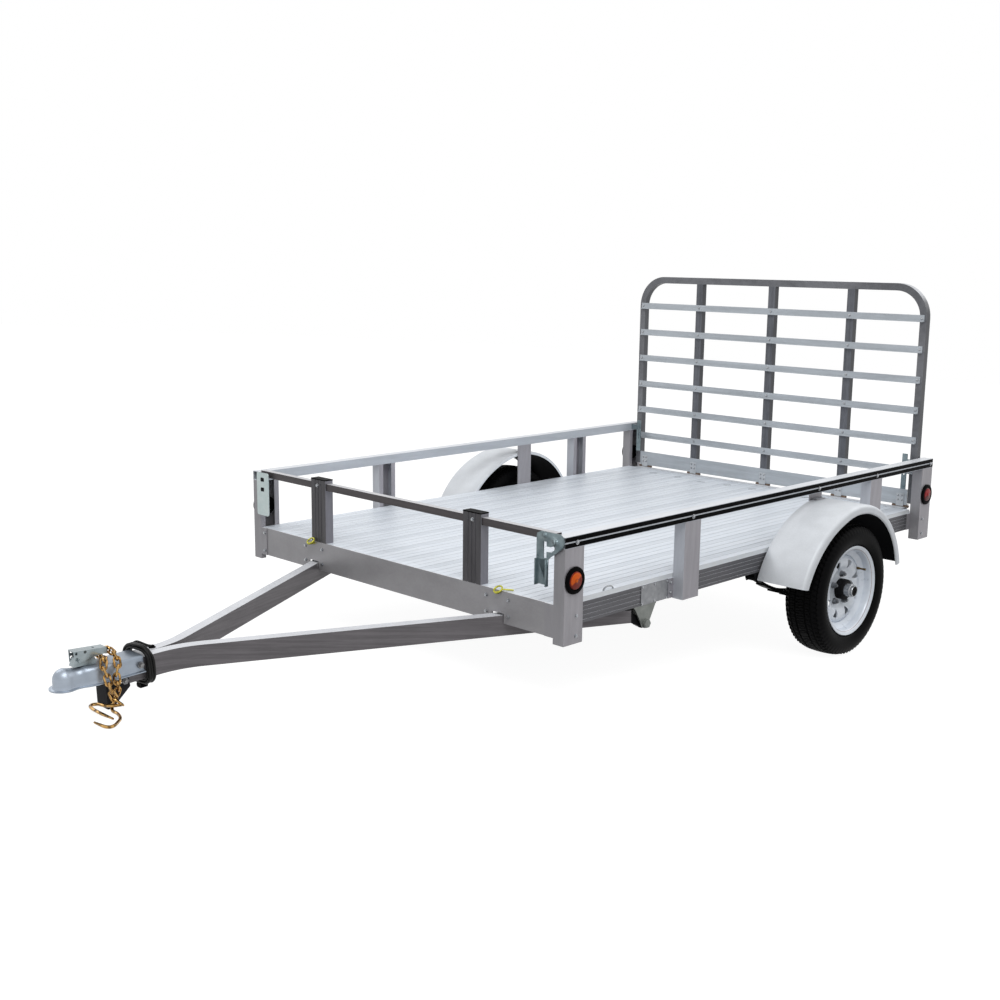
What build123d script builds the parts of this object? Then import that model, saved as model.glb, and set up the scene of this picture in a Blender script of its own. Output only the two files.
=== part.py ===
from build123d import *
import math
import os

# Single-axle tilt-bed utility trailer with a ramp gate, in millimetres.
# Deck frame: X across (left side is +X), Y rearward from the front face of the front
# crossmember, Z up from the top of that crossmember. The tongue points to -Y.
# Everything is built in that frame and then set down on its wheels and parking foot.

# Bed
bed_half = 808.0            # side frames' outer faces
bed_length = 2438.0
post_depth, post_width, post_wall, post_lip = 46.0, 91.0, 3.0, 22.0
crossmember_height, crossmember_depth, crossmember_half = 111.0, 32.0, 802.0
frame_width, frame_top, frame_bottom, frame_wall = 40.0, -16.0, -88.0, 3.5
deck_top, plank_skin, plank_count, plank_gap = 0.0, 3.0, 11, 1.5
deck_end = 2345.0
rear_face = 2385.0          # rear crossmember's rear face
bearer_places = (300.0, 474.0, 900.0, 1330.0, 1760.0, 2150.0)
bearer_height, bearer_depth = 40.0, 30.0

# Side posts: front edge of each, and where its foot ends
corner_foot, mid_foot = -131.0, -91.0
front_post, rear_post = -3.0, bed_length - post_width
mid_posts = (622.0, 1901.0)
rail_bottom, rail_height, rail_wall = 189.0, 38.0, 3.0

# Front rail and its two stakes
stake_place, stake_width, stake_depth, stake_top = 426.0, 88.0, 36.0, 244.0
front_rail_size, front_rail_front, front_rail_bottom = 26.0, 4.5, 207.0
lock_ring_x = 557.0

# Tilt pivot and tongue. The tongue has its own frame: ty along it, tz up from its top.
pivot_y, pivot_z, pivot_pin, running_gap = 474.0, -155.0, 9.5, 0.05
tongue_slope = 2.46         # degrees that the tongue falls towards the coupler
tongue_top = -84.6          # height of the tongue's top where it meets the crossmember
beam_width, beam_height, beam_wall = 40.0, 71.0, 3.0
beam_lay = 20.5             # half the distance between the beams at the coupler
knee_y, beam_bend = -900.0, 290.0
beam_front, beam_rear = -1085.0, 392.0
left_run, right_run = 0.592, 0.486    # how far each beam spreads per unit of length

# Wheels, axle and springs
axle_y, axle_z, axle_size = 1540.0, -193.0, 44.0
tyre_radius, tyre_width, wheel_x = 265.0, 166.0, 926.0
rim_flange, rim_seat, rim_well, rim_width = 180.0, 165.0, 142.0, 144.0
spindle_radius, hub_radius, cap_radius = 16.0, 41.0, 26.0
window_count, window_ring, stud_count, stud_ring, stud_turn = 8, 106.0, 5, 60.0, 5.0
spring_x, spring_width, leaf, spring_reach, eye_z = 784.0, 38.0, 6.0, 376.0, -112.0
main_leaf = (29.6, 31.5)    # degrees from the middle to its front and rear ends
short_leaves = (26.0, 19.0, 12.0)

# Ramp gate
hinge_y, hinge_z, hinge_pin, knuckle = 2396.0, 2.0, 3.5, 6.5
hinge_places = (-735.0, -420.0, 0.0, 420.0, 735.0)
gate_half, gate_low, gate_top, gate_tube, gate_corner = 800.0, 17.0, 994.0, 32.0, 150.0
gate_face = 2392.0          # front face of the gate's tube
upright_places = (-424.0, 0.0, 424.0)
upright_width = 38.0
slat_tops = (859.0, 723.0, 589.0, 454.0, 319.0, 183.0)
slat_height, slat_leg, slat_wall, slat_half = 30.0, 14.0, 3.0, 790.0

# Fenders
fender_inner, fender_outer, fender_radius, fender_wall, fender_lip = 812.0, 1022.0, 347.0, 2.5, 32.0
fender_end = 66.0           # height of both ends above the axle

# Coupler, in the tongue frame
ball_radius, dome_radius, ball_y, ball_z = 25.9, 34.5, -1272.0, -16.0
coupler_rear, coupler_half, coupler_top, coupler_wall = -1034.0, 45.0, 7.0, 4.0
coupler_low, coupler_lip, shoulder_y = -41.0, 12.0, -1177.0
lever_front, lever_rear, lever_half, lever_top = -1243.0, -1138.0, 18.0, 65.0
foot_y, foot_half, foot_low = -1150.0, 32.0, -272.0

# Safety chains and their hooks: link size, and the routes in the tongue frame
link_pitch, link_width, link_wire, hook_wire = 22.0, 20.0, 6.0, 4.5
front_chain = [(-66, -1152, -58), (-67, -1152, -20), (-60, -1152, 8), (-42, -1151, 23), (0, -1150, 21), (32, -1155, 24),
               (54, -1170, 27), (62, -1176, 8), (64, -1170, -14), (71, -1168, -38), (71, -1163, -64), (70, -1157, -87),
               (76, -1147, -106), (80, -1136, -114)]
rear_chain = [(-66, -1112, -58), (-67, -1116, -20), (-60, -1121, 6), (-44, -1123, 22), (-14, -1121, 36), (6, -1120, 38),
              (24, -1120, 30), (44, -1122, 22), (59, -1126, 4), (61, -1135, -12), (70, -1140, -32), (66, -1137, -58),
              (50, -1131, -84), (48, -1142, -102), (50, -1150, -116)]
front_hook = [(80, -1137, -115), (66, -1158, -116), (36, -1172, -119), (2, -1175, -123), (-8, -1190, -124),
              (14, -1203, -123), (80, -1208, -121), (148, -1203, -122)]
rear_hook = [(50, -1151, -117), (66, -1161, -130), (102, -1163, -131), (140, -1176, -130), (170, -1200, -127),
             (200, -1232, -122), (190, -1250, -121), (134, -1256, -121)]

# Wiring harness wound round the tongue: a slightly turned ring, its lead, grommet and plug
coil_x, coil_y, coil_turn, coil_half, coil_high, coil_low = -3.0, -1023.0, 6.9, 59.5, 25.0, -84.0
coil_corner, coil_radial, coil_depth = 28.0, 16.0, 30.0
lead_radius, lead = 4.7, [(-20, -965, 6), (-20, -980, 10), (-20, -996, 20), (-20, -1009.8, 25)]


def polygon(points):
    return make_face(Polyline(*points, close=True))


def block(x, y, z):
    spans = (x, y, z)
    return Pos(*((a + b) / 2 for a, b in spans)) * Box(*(b - a for a, b in spans))


def along_x(face, x0, x1):
    """A face drawn in (y, z), pushed from x0 to x1."""
    return extrude(Plane.YZ.offset(x0) * face, x1 - x0)


def along_y(face, y0, y1):
    """A face drawn in (x, z), pushed from y0 to y1."""
    return extrude(Plane(origin=(0, y0, 0), x_dir=(1, 0, 0), z_dir=(0, -1, 0)) * face, y0 - y1)


def along_z(face, z0, z1):
    return extrude(Plane.XY.offset(z0) * face, z1 - z0)


def rod_x(y, z, radius, x0, x1):
    return along_x(Pos(y, z) * Circle(radius), x0, x1)


def both_sides(shape):
    return [shape, mirror(shape, about=Plane.YZ)]


def rect(a0, a1, b0, b1):
    return Pos((a0 + a1) / 2, (b0 + b1) / 2) * Rectangle(a1 - a0, b1 - b0)


nodes = {}


def keep(name, *shapes):
    solids = [s for shape in shapes for s in shape.solids()]
    nodes[name] = Compound(children=solids)


# The tongue frame's place in the deck frame
tongue_frame = Pos(0, 0, tongue_top) * Rot(X=tongue_slope)
# A point (ty, tz) of the tongue frame for a point (y, z) of the deck frame


def to_tongue(y, z):
    a = math.radians(tongue_slope)
    dz = z - tongue_top
    return y * math.cos(a) + dz * math.sin(a), dz * math.cos(a) - y * math.sin(a)


# Bed frame -----------------------------------------------------------------

def beam_line(side, y):
    """Middle of a tongue beam at a given y behind its knee; side is 1 left, -1 right."""
    run = left_run if side > 0 else right_run
    return side * (beam_lay + run * (y - knee_y))


def notch(side, clearance):
    """Plan of a beam where it passes the crossmember, widened on both sides."""
    run = left_run if side > 0 else right_run
    half = beam_width / 2 / math.cos(math.atan(run)) + clearance
    ends = [(beam_line(side, y), y) for y in (-60.0, 90.0)]
    (xa, ya), (xb, yb) = ends
    return polygon([(xa - half, ya), (xa + half, ya), (xb + half, yb), (xb - half, yb)])


def front_crossmember():
    """A web as high as the deck, a bottom flange, and a ledge that the planks end on."""
    h, d, t, ledge = crossmember_height, crossmember_depth, 5.0, bed_half - frame_width - 0.5
    section = rect(0, d, -h, 0) - rect(t, d + 1, -h + 4, 1)
    bar = along_x(section, -crossmember_half, crossmember_half)
    bar += along_x(rect(t - 1, d, frame_top - 4, frame_top), -ledge, ledge)
    for side in (1, -1):
        bar -= along_z(notch(side, 6.0), -h - 10, tongue_top + 7)
    return bar


def side_frame():
    x0, x1 = bed_half - frame_width, bed_half
    outer = rect(x0, x1, frame_bottom, frame_top)
    grooves = [rect(x1 - 1.5, x1 + 1, z, z + 7) for z in (-78.0, -62.0, -46.0, -32.0)]
    inner = rect(x0 + frame_wall, x1 - frame_wall, frame_bottom + frame_wall, frame_top - frame_wall)
    return along_y(outer - inner - grooves, 6.0, rear_face)


def cross_bearer(y):
    top, low = frame_top, frame_top - bearer_height
    section = rect(y, y + bearer_depth, low, top) - rect(y + 3, y + bearer_depth + 1, low + 3, top - 3)
    half = bed_half - frame_width
    return along_x(section, -half, half)


def rear_crossmember():
    y0, y1, low = rear_face - 38.0, rear_face, frame_bottom
    section = rect(y0, y1, low, deck_top) - rect(y0 - 1, y1 - 4, low + 4, deck_top - 4)
    half = bed_half - frame_width
    return along_x(section, -half, half)


def deck_planks():
    """Each plank is a top skin with three fine grooves and four legs under it."""
    pitch = 2 * (bed_half - 1) / plank_count
    low = frame_top
    planks = []
    for i in range(plank_count):
        x0 = -bed_half + 1 + i * pitch + plank_gap / 2
        x1 = x0 + pitch - plank_gap
        section = rect(x0, x1, deck_top - plank_skin, deck_top)
        for k in range(4):
            leg = x0 + (x1 - x0 - 4) * k / 3
            section += rect(leg, leg + 4, low, deck_top - plank_skin + 0.5)
        for k in (1, 2, 3):
            groove = x0 + (x1 - x0) * k / 4
            section -= rect(groove - 2, groove + 2, deck_top - 1.0, deck_top + 1)
        planks.append(along_y(section, 5.5, deck_end))
    return planks


def lipped_post(y0, foot, tab):
    """Lipped channel, open inwards, on the outer face of the left side frame."""
    x0, x1, y1, t = bed_half, bed_half + post_depth, y0 + post_width, post_wall
    section = rect(x0, x1, y0, y1) - rect(x0 + t, x1 - t, y0 + t, y1 - t)
    section -= rect(x0 - 1, x0 + t + 1, y0 + post_lip, y1 - post_lip)
    post = along_z(section, foot, rail_bottom)
    if tab == "front face":
        return post + block((bed_half - 38, x0 + t), (y0, y0 + t), (-crossmember_height, 0))
    return post + block((x0, x0 + t), (y0 - 28, y0 + t), (frame_bottom, frame_top))


def side_rail():
    x0, x1 = bed_half, bed_half + post_depth
    z0, z1, t = rail_bottom, rail_bottom + rail_height, rail_wall
    section = rect(x0, x1, z0, z1) - rect(x0 + t, x1 - t, z0 + t, z1 - t)
    for low, high in ((z0 + 3, z0 + 16), (z0 + 22, z0 + 35)):
        section -= rect(x1 - 1.2, x1 + 1, low, high)
    return along_y(section, front_post, bed_length)


def front_stake(x):
    w, d, t = stake_width / 2, stake_depth, 3.0
    outer = Pos(x, d / 2) * Rectangle(2 * w, d)
    inner = Pos(x, d / 2) * Rectangle(2 * w - 2 * t, d - 2 * t)
    ribs = [Pos(x + s, 0) * Rectangle(6, 3) for s in (-18, 0, 18)]
    stake = along_z(outer - inner - ribs, 0.0, stake_top)
    low, size, front = front_rail_bottom, front_rail_size, front_rail_front
    return stake - block((x - w - 1, x + w + 1), (front - 0.5, front + size + 0.5), (low - 0.5, low + size + 0.5))


def front_rail():
    z, y, s, t = front_rail_bottom, front_rail_front, front_rail_size, 2.5
    section = rect(y, y + s, z, z + s) - rect(y + t, y + s - t, z + t, z + s - t)
    return along_x(section, -bed_half, bed_half)


def stake_cap(x):
    w = stake_width / 2 + 2
    return block((x - w, x + w), (-2, stake_depth + 2), (stake_top, stake_top + 5))


def front_latch():
    """Keeper plate on the left end of the front rail: a tee slot, a folded handle and two bolts."""
    front, back = -12.0, -8.0
    plate = polygon([(738, 62), (788, 62), (788, 146), (799, 156), (829, 176), (850, 192), (856, 206), (853, 228),
                     (840, 236), (758, 236), (741, 228), (738, 215)])
    plate -= rect(768, 782, 150, 204)
    plate -= polygon([(781, 171), (803, 172), (822, 187), (812, 194), (800, 189), (781, 189)])
    body = along_y(plate, front, back)
    for x in (738, 784):
        flange = rect(front - 9, back, 58, 145)
        body += along_x(flange, x, x + 4)
    for x, z, radius, reach in ((826, 209, 11, -3.0), (780, 226, 8, front_rail_front)):
        body += along_y(Pos(x, z) * RegularPolygon(radius, 6), front - 8, front)
        body += along_y(Pos(x, z) * Circle(radius * 0.6), front, reach)
    return body


def lock_ring(x, y):
    """Pull ring of a lock pin: it leans forward over the crossmember's edge, on its tab."""
    ring = Pos(x, y, 3) * Rot(X=35) * Torus(15, 3.2)
    return ring + block((x - 6, x + 6), (y - 12, 0), (-10, -3))


def lock_pins():
    """The left ring has a wire handle that lies on the deck; the right one stands before its stake."""
    start, end = Vector(lock_ring_x + 13, -2, 5.5), Vector(lock_ring_x + 45, 26, 3.5)
    handle = extrude(Plane(origin=start, z_dir=end - start) * Circle(2.6), (end - start).length)
    return lock_ring(lock_ring_x, -3.0) + handle, lock_ring(-456.0, -17.0)


def lamp_ring(y, z):
    x = bed_half + post_depth
    return rod_x(y, z, 42.0, x, x + 9) - rod_x(y, z, 30.0, x + 3, x + 10)


def lamp_lens(y, z):
    x = bed_half + post_depth
    dome = Pos(x + 3, y, z) * Rot(Y=90) * (Cylinder(29.5, 8, align=(Align.CENTER, Align.CENTER, Align.MIN)))
    return chamfer(dome.faces().sort_by(Axis.X)[-1].edges(), 4.0)


# Tilt hangers and their pins --------------------------------------------------

def hanger_cheek(x0, x1, top, front, back):
    ear = polygon([(front, top), (back, top), (pivot_y + 15, pivot_z - 8), (pivot_y - 15, pivot_z - 8)])
    ear += Pos(pivot_y, pivot_z) * Circle(18.0)
    return along_x(ear, x0, x1)


def tilt_hanger(x, top, front, back, head_out):
    """Two ears round the lug at x, a plate over them and the pin that joins them."""
    hanger = hanger_cheek(x + 12, x + 18, top, front, back) + hanger_cheek(x - 18, x - 12, top, front, back)
    hanger += block((x - 18, x + 18), (front, back), (top - 5, top))
    hanger += rod_x(pivot_y, pivot_z, pivot_pin, x - 26, x + 26)
    hanger += along_x(Pos(pivot_y, pivot_z) * RegularPolygon(16, 6), x + 18, x + 30)
    return hanger + along_x(Pos(pivot_y, pivot_z) * RegularPolygon(16, 6), x - 30, x - 18)


# Fenders ----------------------------------------------------------------------

def fender():
    """A rolled sheet: crown, rounded outer lip and a narrow inner lip, turned about the axle."""
    r, t, x0, x1, lip = fender_radius, fender_wall, fender_inner, fender_outer, fender_lip
    skin = [(x0, r - 14), (x0, r), (x1 - 16, r), (x1 - 5, r - 5), (x1, r - 16), (x1, r - lip),
            (x1 - 7, r - lip - 4), (x1 - 7, r - lip), (x1 - t, r - lip), (x1 - t, r - 16),
            (x1 - 7, r - 7), (x1 - 16, r - t), (x0 + t, r - t), (x0 + t, r - 14)]
    section = Plane.XZ * make_face(Polyline(*skin, close=True))
    end = math.degrees(math.asin(fender_end / r))
    sheet = revolve(section, Axis.X, 180 - 2 * end)
    return Pos(0, axle_y, axle_z) * Rot(X=-90 + end) * sheet


def fender_brace():
    crown = axle_z + fender_radius
    plate = block((bed_half, fender_inner), (axle_y - 45, axle_y + 45), (frame_bottom, rail_bottom))
    return plate + block((bed_half, bed_half + 30), (axle_y - 30, axle_y + 30), (crown, crown + 3))


# Springs, axle and wheels --------------------------------------------------------

def leaf_spring():
    """Leaves bent to one centre, hung below the axle, with a rolled eye at the front."""
    low = axle_z - axle_size / 2 - 0.5
    sag = eye_z - low
    radius = (spring_reach ** 2 + sag ** 2) / (2 * sag)
    centre = low + radius
    x0, x1 = spring_x - spring_width / 2, spring_x + spring_width / 2
    spring = None
    for k, (front, rear) in enumerate([main_leaf] + [(a, a) for a in short_leaves]):
        r0 = radius + leaf * k
        a, b = math.radians(front), math.radians(rear)
        wedge = [(0, 0), (-math.sin(a) * 2 * r0, -math.cos(a) * 2 * r0), (math.sin(b) * 2 * r0, -math.cos(b) * 2 * r0)]
        arc = (Circle(r0 + leaf) - Circle(r0)) & polygon(wedge)
        bar = along_x(Pos(axle_y, centre) * arc, x0, x1)
        spring = bar if spring is None else spring + bar
    y, z = axle_y - spring_reach, eye_z
    spring += rod_x(y, z, 14.0, x0, x1)
    return spring - rod_x(y, z, 7.1, x0 - 1, x1 + 1)


def spring_hangers():
    """Front ears with the eye's bolt, and the rear box that the main leaf slides in."""
    x0, x1 = spring_x - spring_width / 2, spring_x + spring_width / 2
    front_y, rear_y = axle_y - spring_reach, axle_y + spring_reach
    ear = polygon([(front_y - 30, frame_bottom), (front_y + 34, frame_bottom), (front_y + 16, eye_z - 14),
                   (front_y - 14, eye_z - 14)])
    front = along_x(ear, x1 + 0.5, x1 + 4.5) + along_x(ear, x0 - 4.5, x0 - 0.5)
    front += rod_x(front_y, eye_z, 7.0, x0 - 12, x1 + 12)
    front += along_x(Pos(front_y, eye_z) * RegularPolygon(12, 6), x1 + 4.5, x1 + 13)
    box = rect(rear_y - 15, rear_y + 30, eye_z - 28, frame_bottom)
    rear = along_x(box - rect(rear_y - 16, rear_y + 31, eye_z - 23, frame_bottom - 4), x0 - 0.5, x1 + 0.5)
    rear += along_x(box, x1 + 0.5, x1 + 4.5) + along_x(box, x0 - 4.5, x0 - 0.5)
    return front, rear


def spring_clamp():
    low = axle_z - axle_size / 2 - 0.5 - leaf * (1 + len(short_leaves))
    x0, x1 = spring_x - spring_width / 2 - 14, spring_x + spring_width / 2 + 14
    plate = block((x0, x1), (axle_y - 45, axle_y + 45), (low - 10, low - 0.1))
    top = axle_z + axle_size / 2
    for y in (axle_y - 30, axle_y + 30):
        for x in (x0 + 7, x1 - 7):
            plate += Pos(x, y, low - 22) * Cylinder(5, top - low + 30, align=(Align.CENTER, Align.CENTER, Align.MIN))
        plate += block((x0 + 2, x1 - 2), (y - 5, y + 5), (top + 0.1, top + 9))
    return plate


def axle():
    half, s = 842.0, axle_size / 2
    bar = block((-half, half), (axle_y - s, axle_y + s), (axle_z - s, axle_z + s))
    for side in (1, -1):
        ends = sorted((side * half, side * (wheel_x + 34)))
        bar += rod_x(axle_y, axle_z, spindle_radius, *ends)
    return bar


def turned(profile):
    """Revolve an (x, radius) profile about the left wheel's axis."""
    section = Plane.XZ * make_face(Polyline(*profile, close=True))
    return Pos(wheel_x, axle_y, axle_z) * revolve(section, Axis.X, 360)


def tyre():
    """Tread, bulging sidewalls and beads, open inside towards the rim."""
    r, w, bead, f = tyre_radius, tyre_width / 2, rim_seat + 0.1, rim_flange
    outer = [(54, bead), (60, rim_seat + 6), (64.5, f + 2), (71, f + 6), (w - 2, f + 24), (w, f + 42), (w - 5, r - 26),
             (w - 16, r - 8), (w - 30, r - 1), (0, r)]
    inner = [(0, r - 14), (w - 34, r - 14), (w - 20, r - 24), (w - 11, f + 42), (w - 14, f + 24), (56, f + 8),
             (46, rim_seat + 12), (42, bead)]
    section = outer + [(-x, z) for x, z in reversed(outer[:-1])]
    hollow = [(-x, z) for x, z in reversed(inner)] + inner[1:]
    return turned(section + hollow)


def stud_spots():
    return [Rot(Z=stud_turn + k * 360 / stud_count) * Pos(0, stud_ring) for k in range(stud_count)]


def rim():
    """Flanged barrel, and a crowned disc with hand holes near its edge."""
    w, f, s, d = rim_width / 2, rim_flange, rim_seat, rim_well
    outer = [(w, f), (w - 5, f), (w - 9, s + 8), (w - 16, s), (30, s), (18, d), (-30, d), (-42, s), (-w + 16, s),
             (-w + 9, s + 8), (-w + 5, f), (-w, f)]
    inner = [(-w, f - 4), (-w + 4, s + 4), (-w + 12, s - 4), (-46, s - 4), (-34, d - 4), (22, d - 4), (34, s - 4),
             (w - 12, s - 4), (w - 4, s + 4), (w, f - 4)]
    barrel = turned(outer + inner)
    disc = turned([(8, d - 2), (22, 127), (26, 97), (12, 76), (12, 34), (17, 34), (17, 74), (31, 95), (28, 129),
                   (14, d - 2)])
    for k in range(window_count):
        window = Rot(Z=(k + 0.5) * 360 / window_count) * Pos(0, window_ring) * RegularPolygon(15, 3, rotation=90)
        disc -= Pos(wheel_x, axle_y, axle_z) * along_x(window, 0, 60)
    for spot in stud_spots():
        disc -= Pos(wheel_x, axle_y, axle_z) * along_x(spot * Circle(6.5), 0, 40)
    return barrel + disc


def hub():
    """Hub body with its flange behind the wheel disc, five studs and the bearing cap."""
    bore = spindle_radius + running_gap
    flange = turned([(2, bore), (2, 70), (11.5, 70), (11.5, 33), (17.5, 33), (17.5, hub_radius), (46, hub_radius),
                     (49, hub_radius - 3), (49, cap_radius), (74, cap_radius), (74, cap_radius - 3),
                     (84, cap_radius - 3), (84, 0), (40, 0), (40, bore)])
    back = turned([(-60, bore), (-60, 38), (2, 38), (2, bore)])
    body = flange + back
    for spot in stud_spots():
        body += Pos(wheel_x, axle_y, axle_z) * (along_x(spot * Circle(6.0), 10, 40))
        body += Pos(wheel_x, axle_y, axle_z) * (along_x(spot * RegularPolygon(11, 6), 17.5, 32))
    return body


# Ramp gate ------------------------------------------------------------------------

def gate_frame():
    h, top, s, r, low = gate_half, gate_top, gate_tube, gate_corner, gate_low

    def arch(inset):
        w, t, k = h - inset, top - inset, r - inset
        path = Polyline((-w, low - 1), (-w, t - k)) + CenterArc((-w + k, t - k), k, 90, 90)
        path += Polyline((-w + k, t), (w - k, t)) + CenterArc((w - k, t - k), k, 0, 90)
        path += Polyline((w, t - k), (w, low - 1)) + Polyline((w, low - 1), (-w, low - 1))
        return make_face(path)

    ring = along_y(arch(0) - arch(s), gate_face, gate_face + s)
    bore = along_y(arch(3) - arch(s - 3), gate_face + 3, gate_face + s - 3)
    cut = block((-h - 1, h + 1), (gate_face - 1, gate_face + s + 1), (low - 20, low))
    return ring - bore - cut


def gate_upright(x):
    w, y0, d, t = upright_width / 2, gate_face, 30.0, 3.0
    outer = rect(x - w, x + w, y0, y0 + d)
    inner = rect(x - w + t, x + w - t, y0 + t, y0 + d + 1)
    lips = rect(x - w, x - w + 9, y0 + d - t, y0 + d) + rect(x + w - 9, x + w, y0 + d - t, y0 + d)
    return along_z(outer - inner + lips, gate_low, gate_top - gate_tube)


def gate_slat(top):
    y1, t, low = gate_face, slat_wall, top - slat_height
    section = rect(y1 - t, y1, low, top) + rect(y1 - slat_leg, y1, low, low + t)
    return along_x(section, -slat_half, slat_half)


def gate_plate():
    section = rect(gate_face - 3, gate_face, 9.0, 80.0) + rect(gate_face - 3, gate_face + 20, 9.0, 11.5)
    inner = gate_half - gate_tube - 0.5
    return along_x(section, -inner, inner)


def hinge_on_bed(x):
    """Pin, two knuckles and the leaf on the rear face of the crossmember."""
    half, gap = 38.0, 19.0
    pieces = rod_x(hinge_y, hinge_z, hinge_pin, x - half - 3, x + half + 3)
    for a, b in ((x - half, x - gap), (x + gap, x + half)):
        pieces += rod_x(hinge_y, hinge_z, knuckle, a, b)
        pieces += block((a, b), (rear_face, hinge_y), (hinge_z - knuckle, hinge_z - knuckle + 3))
    return pieces + block((x - half, x + half), (rear_face, rear_face + 2.5), (-50, hinge_z - knuckle + 3))


def hinge_on_gate(x):
    """Middle knuckle and the leaf that lies on the front of the gate's bottom plate."""
    barrel = rod_x(hinge_y, hinge_z, knuckle, x - 18, x + 18)
    strap = block((x - 18, x + 18), (gate_face - 5.5, gate_face - 3), (hinge_z, 60))
    strap += block((x - 18, x + 18), (gate_face - 5.5, hinge_y - 4), (hinge_z, hinge_z + 5))
    return barrel + strap - rod_x(hinge_y, hinge_z, hinge_pin + running_gap, x - 20, x + 20)


def gate_latch():
    """Keeper on the left end of the side rail, a slotted bar in front of the gate's tube."""
    bar = rect(748, 772, 86, 246) - rect(757, 763, 150, 210)
    y = gate_face - 34
    return along_y(bar, y, y + 4) + block((768, bed_half), (y, y + 4), (196, 222))


# Tongue, in its own frame ------------------------------------------------------------

def beam(side):
    """A rectangular tube: straight from the bed, bent at the knee, then along the coupler."""
    run = left_run if side > 0 else right_run
    start = (side * beam_lay, beam_front, 0)
    knee = (side * beam_lay, knee_y, 0)
    far_y = beam_rear + 60
    end = (beam_line(side, far_y), far_y, 0)
    path = FilletPolyline(start, knee, end, radius=beam_bend)
    w, h, t = beam_width, beam_height, beam_wall
    plane = Plane(origin=start, x_dir=(1, 0, 0), z_dir=(0, 1, 0))
    outer = sweep(plane * Pos(0, h / 2) * Rectangle(w, h), path=path)
    inner = sweep(plane * Pos(0, h / 2) * Rectangle(w - 2 * t, h - 2 * t), path=path)
    tube = outer - inner
    if run > 0:
        tube -= block((-900, 900), (beam_rear, far_y + 100), (-200, 100))
    return tube


def under_side_frame(shape):
    """Cut the left beam's upper corner away where it runs in under the side frame."""
    room = block((bed_half - frame_width - 7, 900), (200, 480), (frame_bottom - 6.5, 0))
    return shape - tongue_frame.inverse() * room


def pivot_lug(side):
    """End plate on the beam and the lug that turns on the hanger's pin."""
    x = beam_line(side, beam_rear)
    ty, tz = to_tongue(pivot_y, pivot_z)
    lug_x = lug_places[side]
    plate = block((min(x - 24, lug_x - 8), max(x + 24, lug_x + 8)), (beam_rear, beam_rear + 6), (-beam_height, 0))
    ear = polygon([(beam_rear + 5, -beam_height), (beam_rear + 5, -34), (ty - 8, tz + 20), (ty, tz - 20)])
    ear += Pos(ty, tz) * Circle(20.0)
    lug = along_x(ear, lug_x - 5, lug_x + 5)
    return plate + lug - rod_x(ty, tz, pivot_pin + running_gap, lug_x - 10, lug_x + 10)


lug_places = {1: 790.0, -1: -664.0}


def arch(ty, half, top, corner, low):
    """Cross-section at ty: upright sides and a top with rounded corners."""
    path = Polyline((-half + corner, top), (half - corner, top)) + CenterArc((half - corner, top - corner), corner, 0, 90)
    path += Polyline((half, top - corner), (half, low), (-half, low), (-half, top - corner))
    path += CenterArc((-half + corner, top - corner), corner, 90, 90)
    return Plane(origin=(0, ty, 0), x_dir=(1, 0, 0), z_dir=(0, -1, 0)) * make_face(path)


def coupler():
    """Pressed channel that narrows to a ball dome, open below, with a flange all round."""
    t, half, rear, top, low, lip = coupler_wall, coupler_half, coupler_rear, coupler_top, coupler_low, coupler_lip
    r, front, neck = dome_radius, ball_y, shoulder_y
    crown = ball_z + r
    body = loft([arch(front, r, crown, r - 0.5, low), arch(neck, half, top, 8, low)])
    body += extrude(arch(neck, half, top, 8, low), neck - rear)
    body += Pos(0, front, ball_z) * Sphere(r)
    body += Pos(0, front, low) * Cylinder(r, ball_z - low, align=(Align.CENTER, Align.CENTER, Align.MIN))
    body -= block((-60, 60), (front - 60, front + 60), (low - 60, low))
    flange = Pos(0, front) * Circle(r + lip) + polygon([(-r - lip, front), (r + lip, front), (half + lip, neck),
                                                        (half + lip, rear + 2), (0, rear + 2), (0, rear + 18),
                                                        (-half - lip, rear - 18), (-half - lip, neck)])
    body += along_z(flange & rect(-90, 90, front - 90, rear), low, low + t)
    inner, deep = r - 7, low - 20
    body -= loft([arch(front, inner, crown - 7, inner - 0.5, deep), arch(neck, half - t, top - t, 4, deep)])
    body -= extrude(arch(neck, half - t, top - t, 4, deep), neck - rear - 1)
    body -= Pos(0, front, ball_z) * Sphere(ball_radius)
    body -= Pos(0, front, deep) * Cylinder(ball_radius, ball_z - deep, align=(Align.CENTER, Align.CENTER, Align.MIN))
    return body - along_z(Pos(0, rear - 60) * SlotOverall(22, 6), 0, 10)


def coupler_lever():
    """Latch lever: an upturned channel with lightening holes, on a saddle over the neck."""
    y0, y1, w, top = lever_front, lever_rear, lever_half, lever_top
    side = polygon([(y0, 26), (y0 + 26, 28), (y0 + 60, 36), (y1, 36), (y1, top - 10), (y0, top)])
    inside = polygon([(y0 - 1, 10), (y1 + 1, 10), (y1 + 1, top - 13), (y0 - 1, top - 3)])
    lever = along_x(side, -w, w) - along_x(inside, -w + 3, w - 3)
    for y, z in ((y0 + 8, 57), (y0 + 36, 56), (y0 + 7, 40)):
        lever -= rod_x(y, z, 4.5, -w - 1, w + 1)
    lever -= along_z(Pos(0, y0 + 70) * SlotOverall(12, 6), top - 20, top + 5)
    saddle = polygon([(y0 - 4, 17), (y0 + 70, 9.0), (y0 + 68, 30), (y0 + 40, 32), (y0 + 24, 42), (y0 + 6, 42)])
    return lever + along_x(saddle, -w + 4, w - 4) + rod_x(y0 + 15, 33, 5, -w - 4, w + 4)


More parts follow.
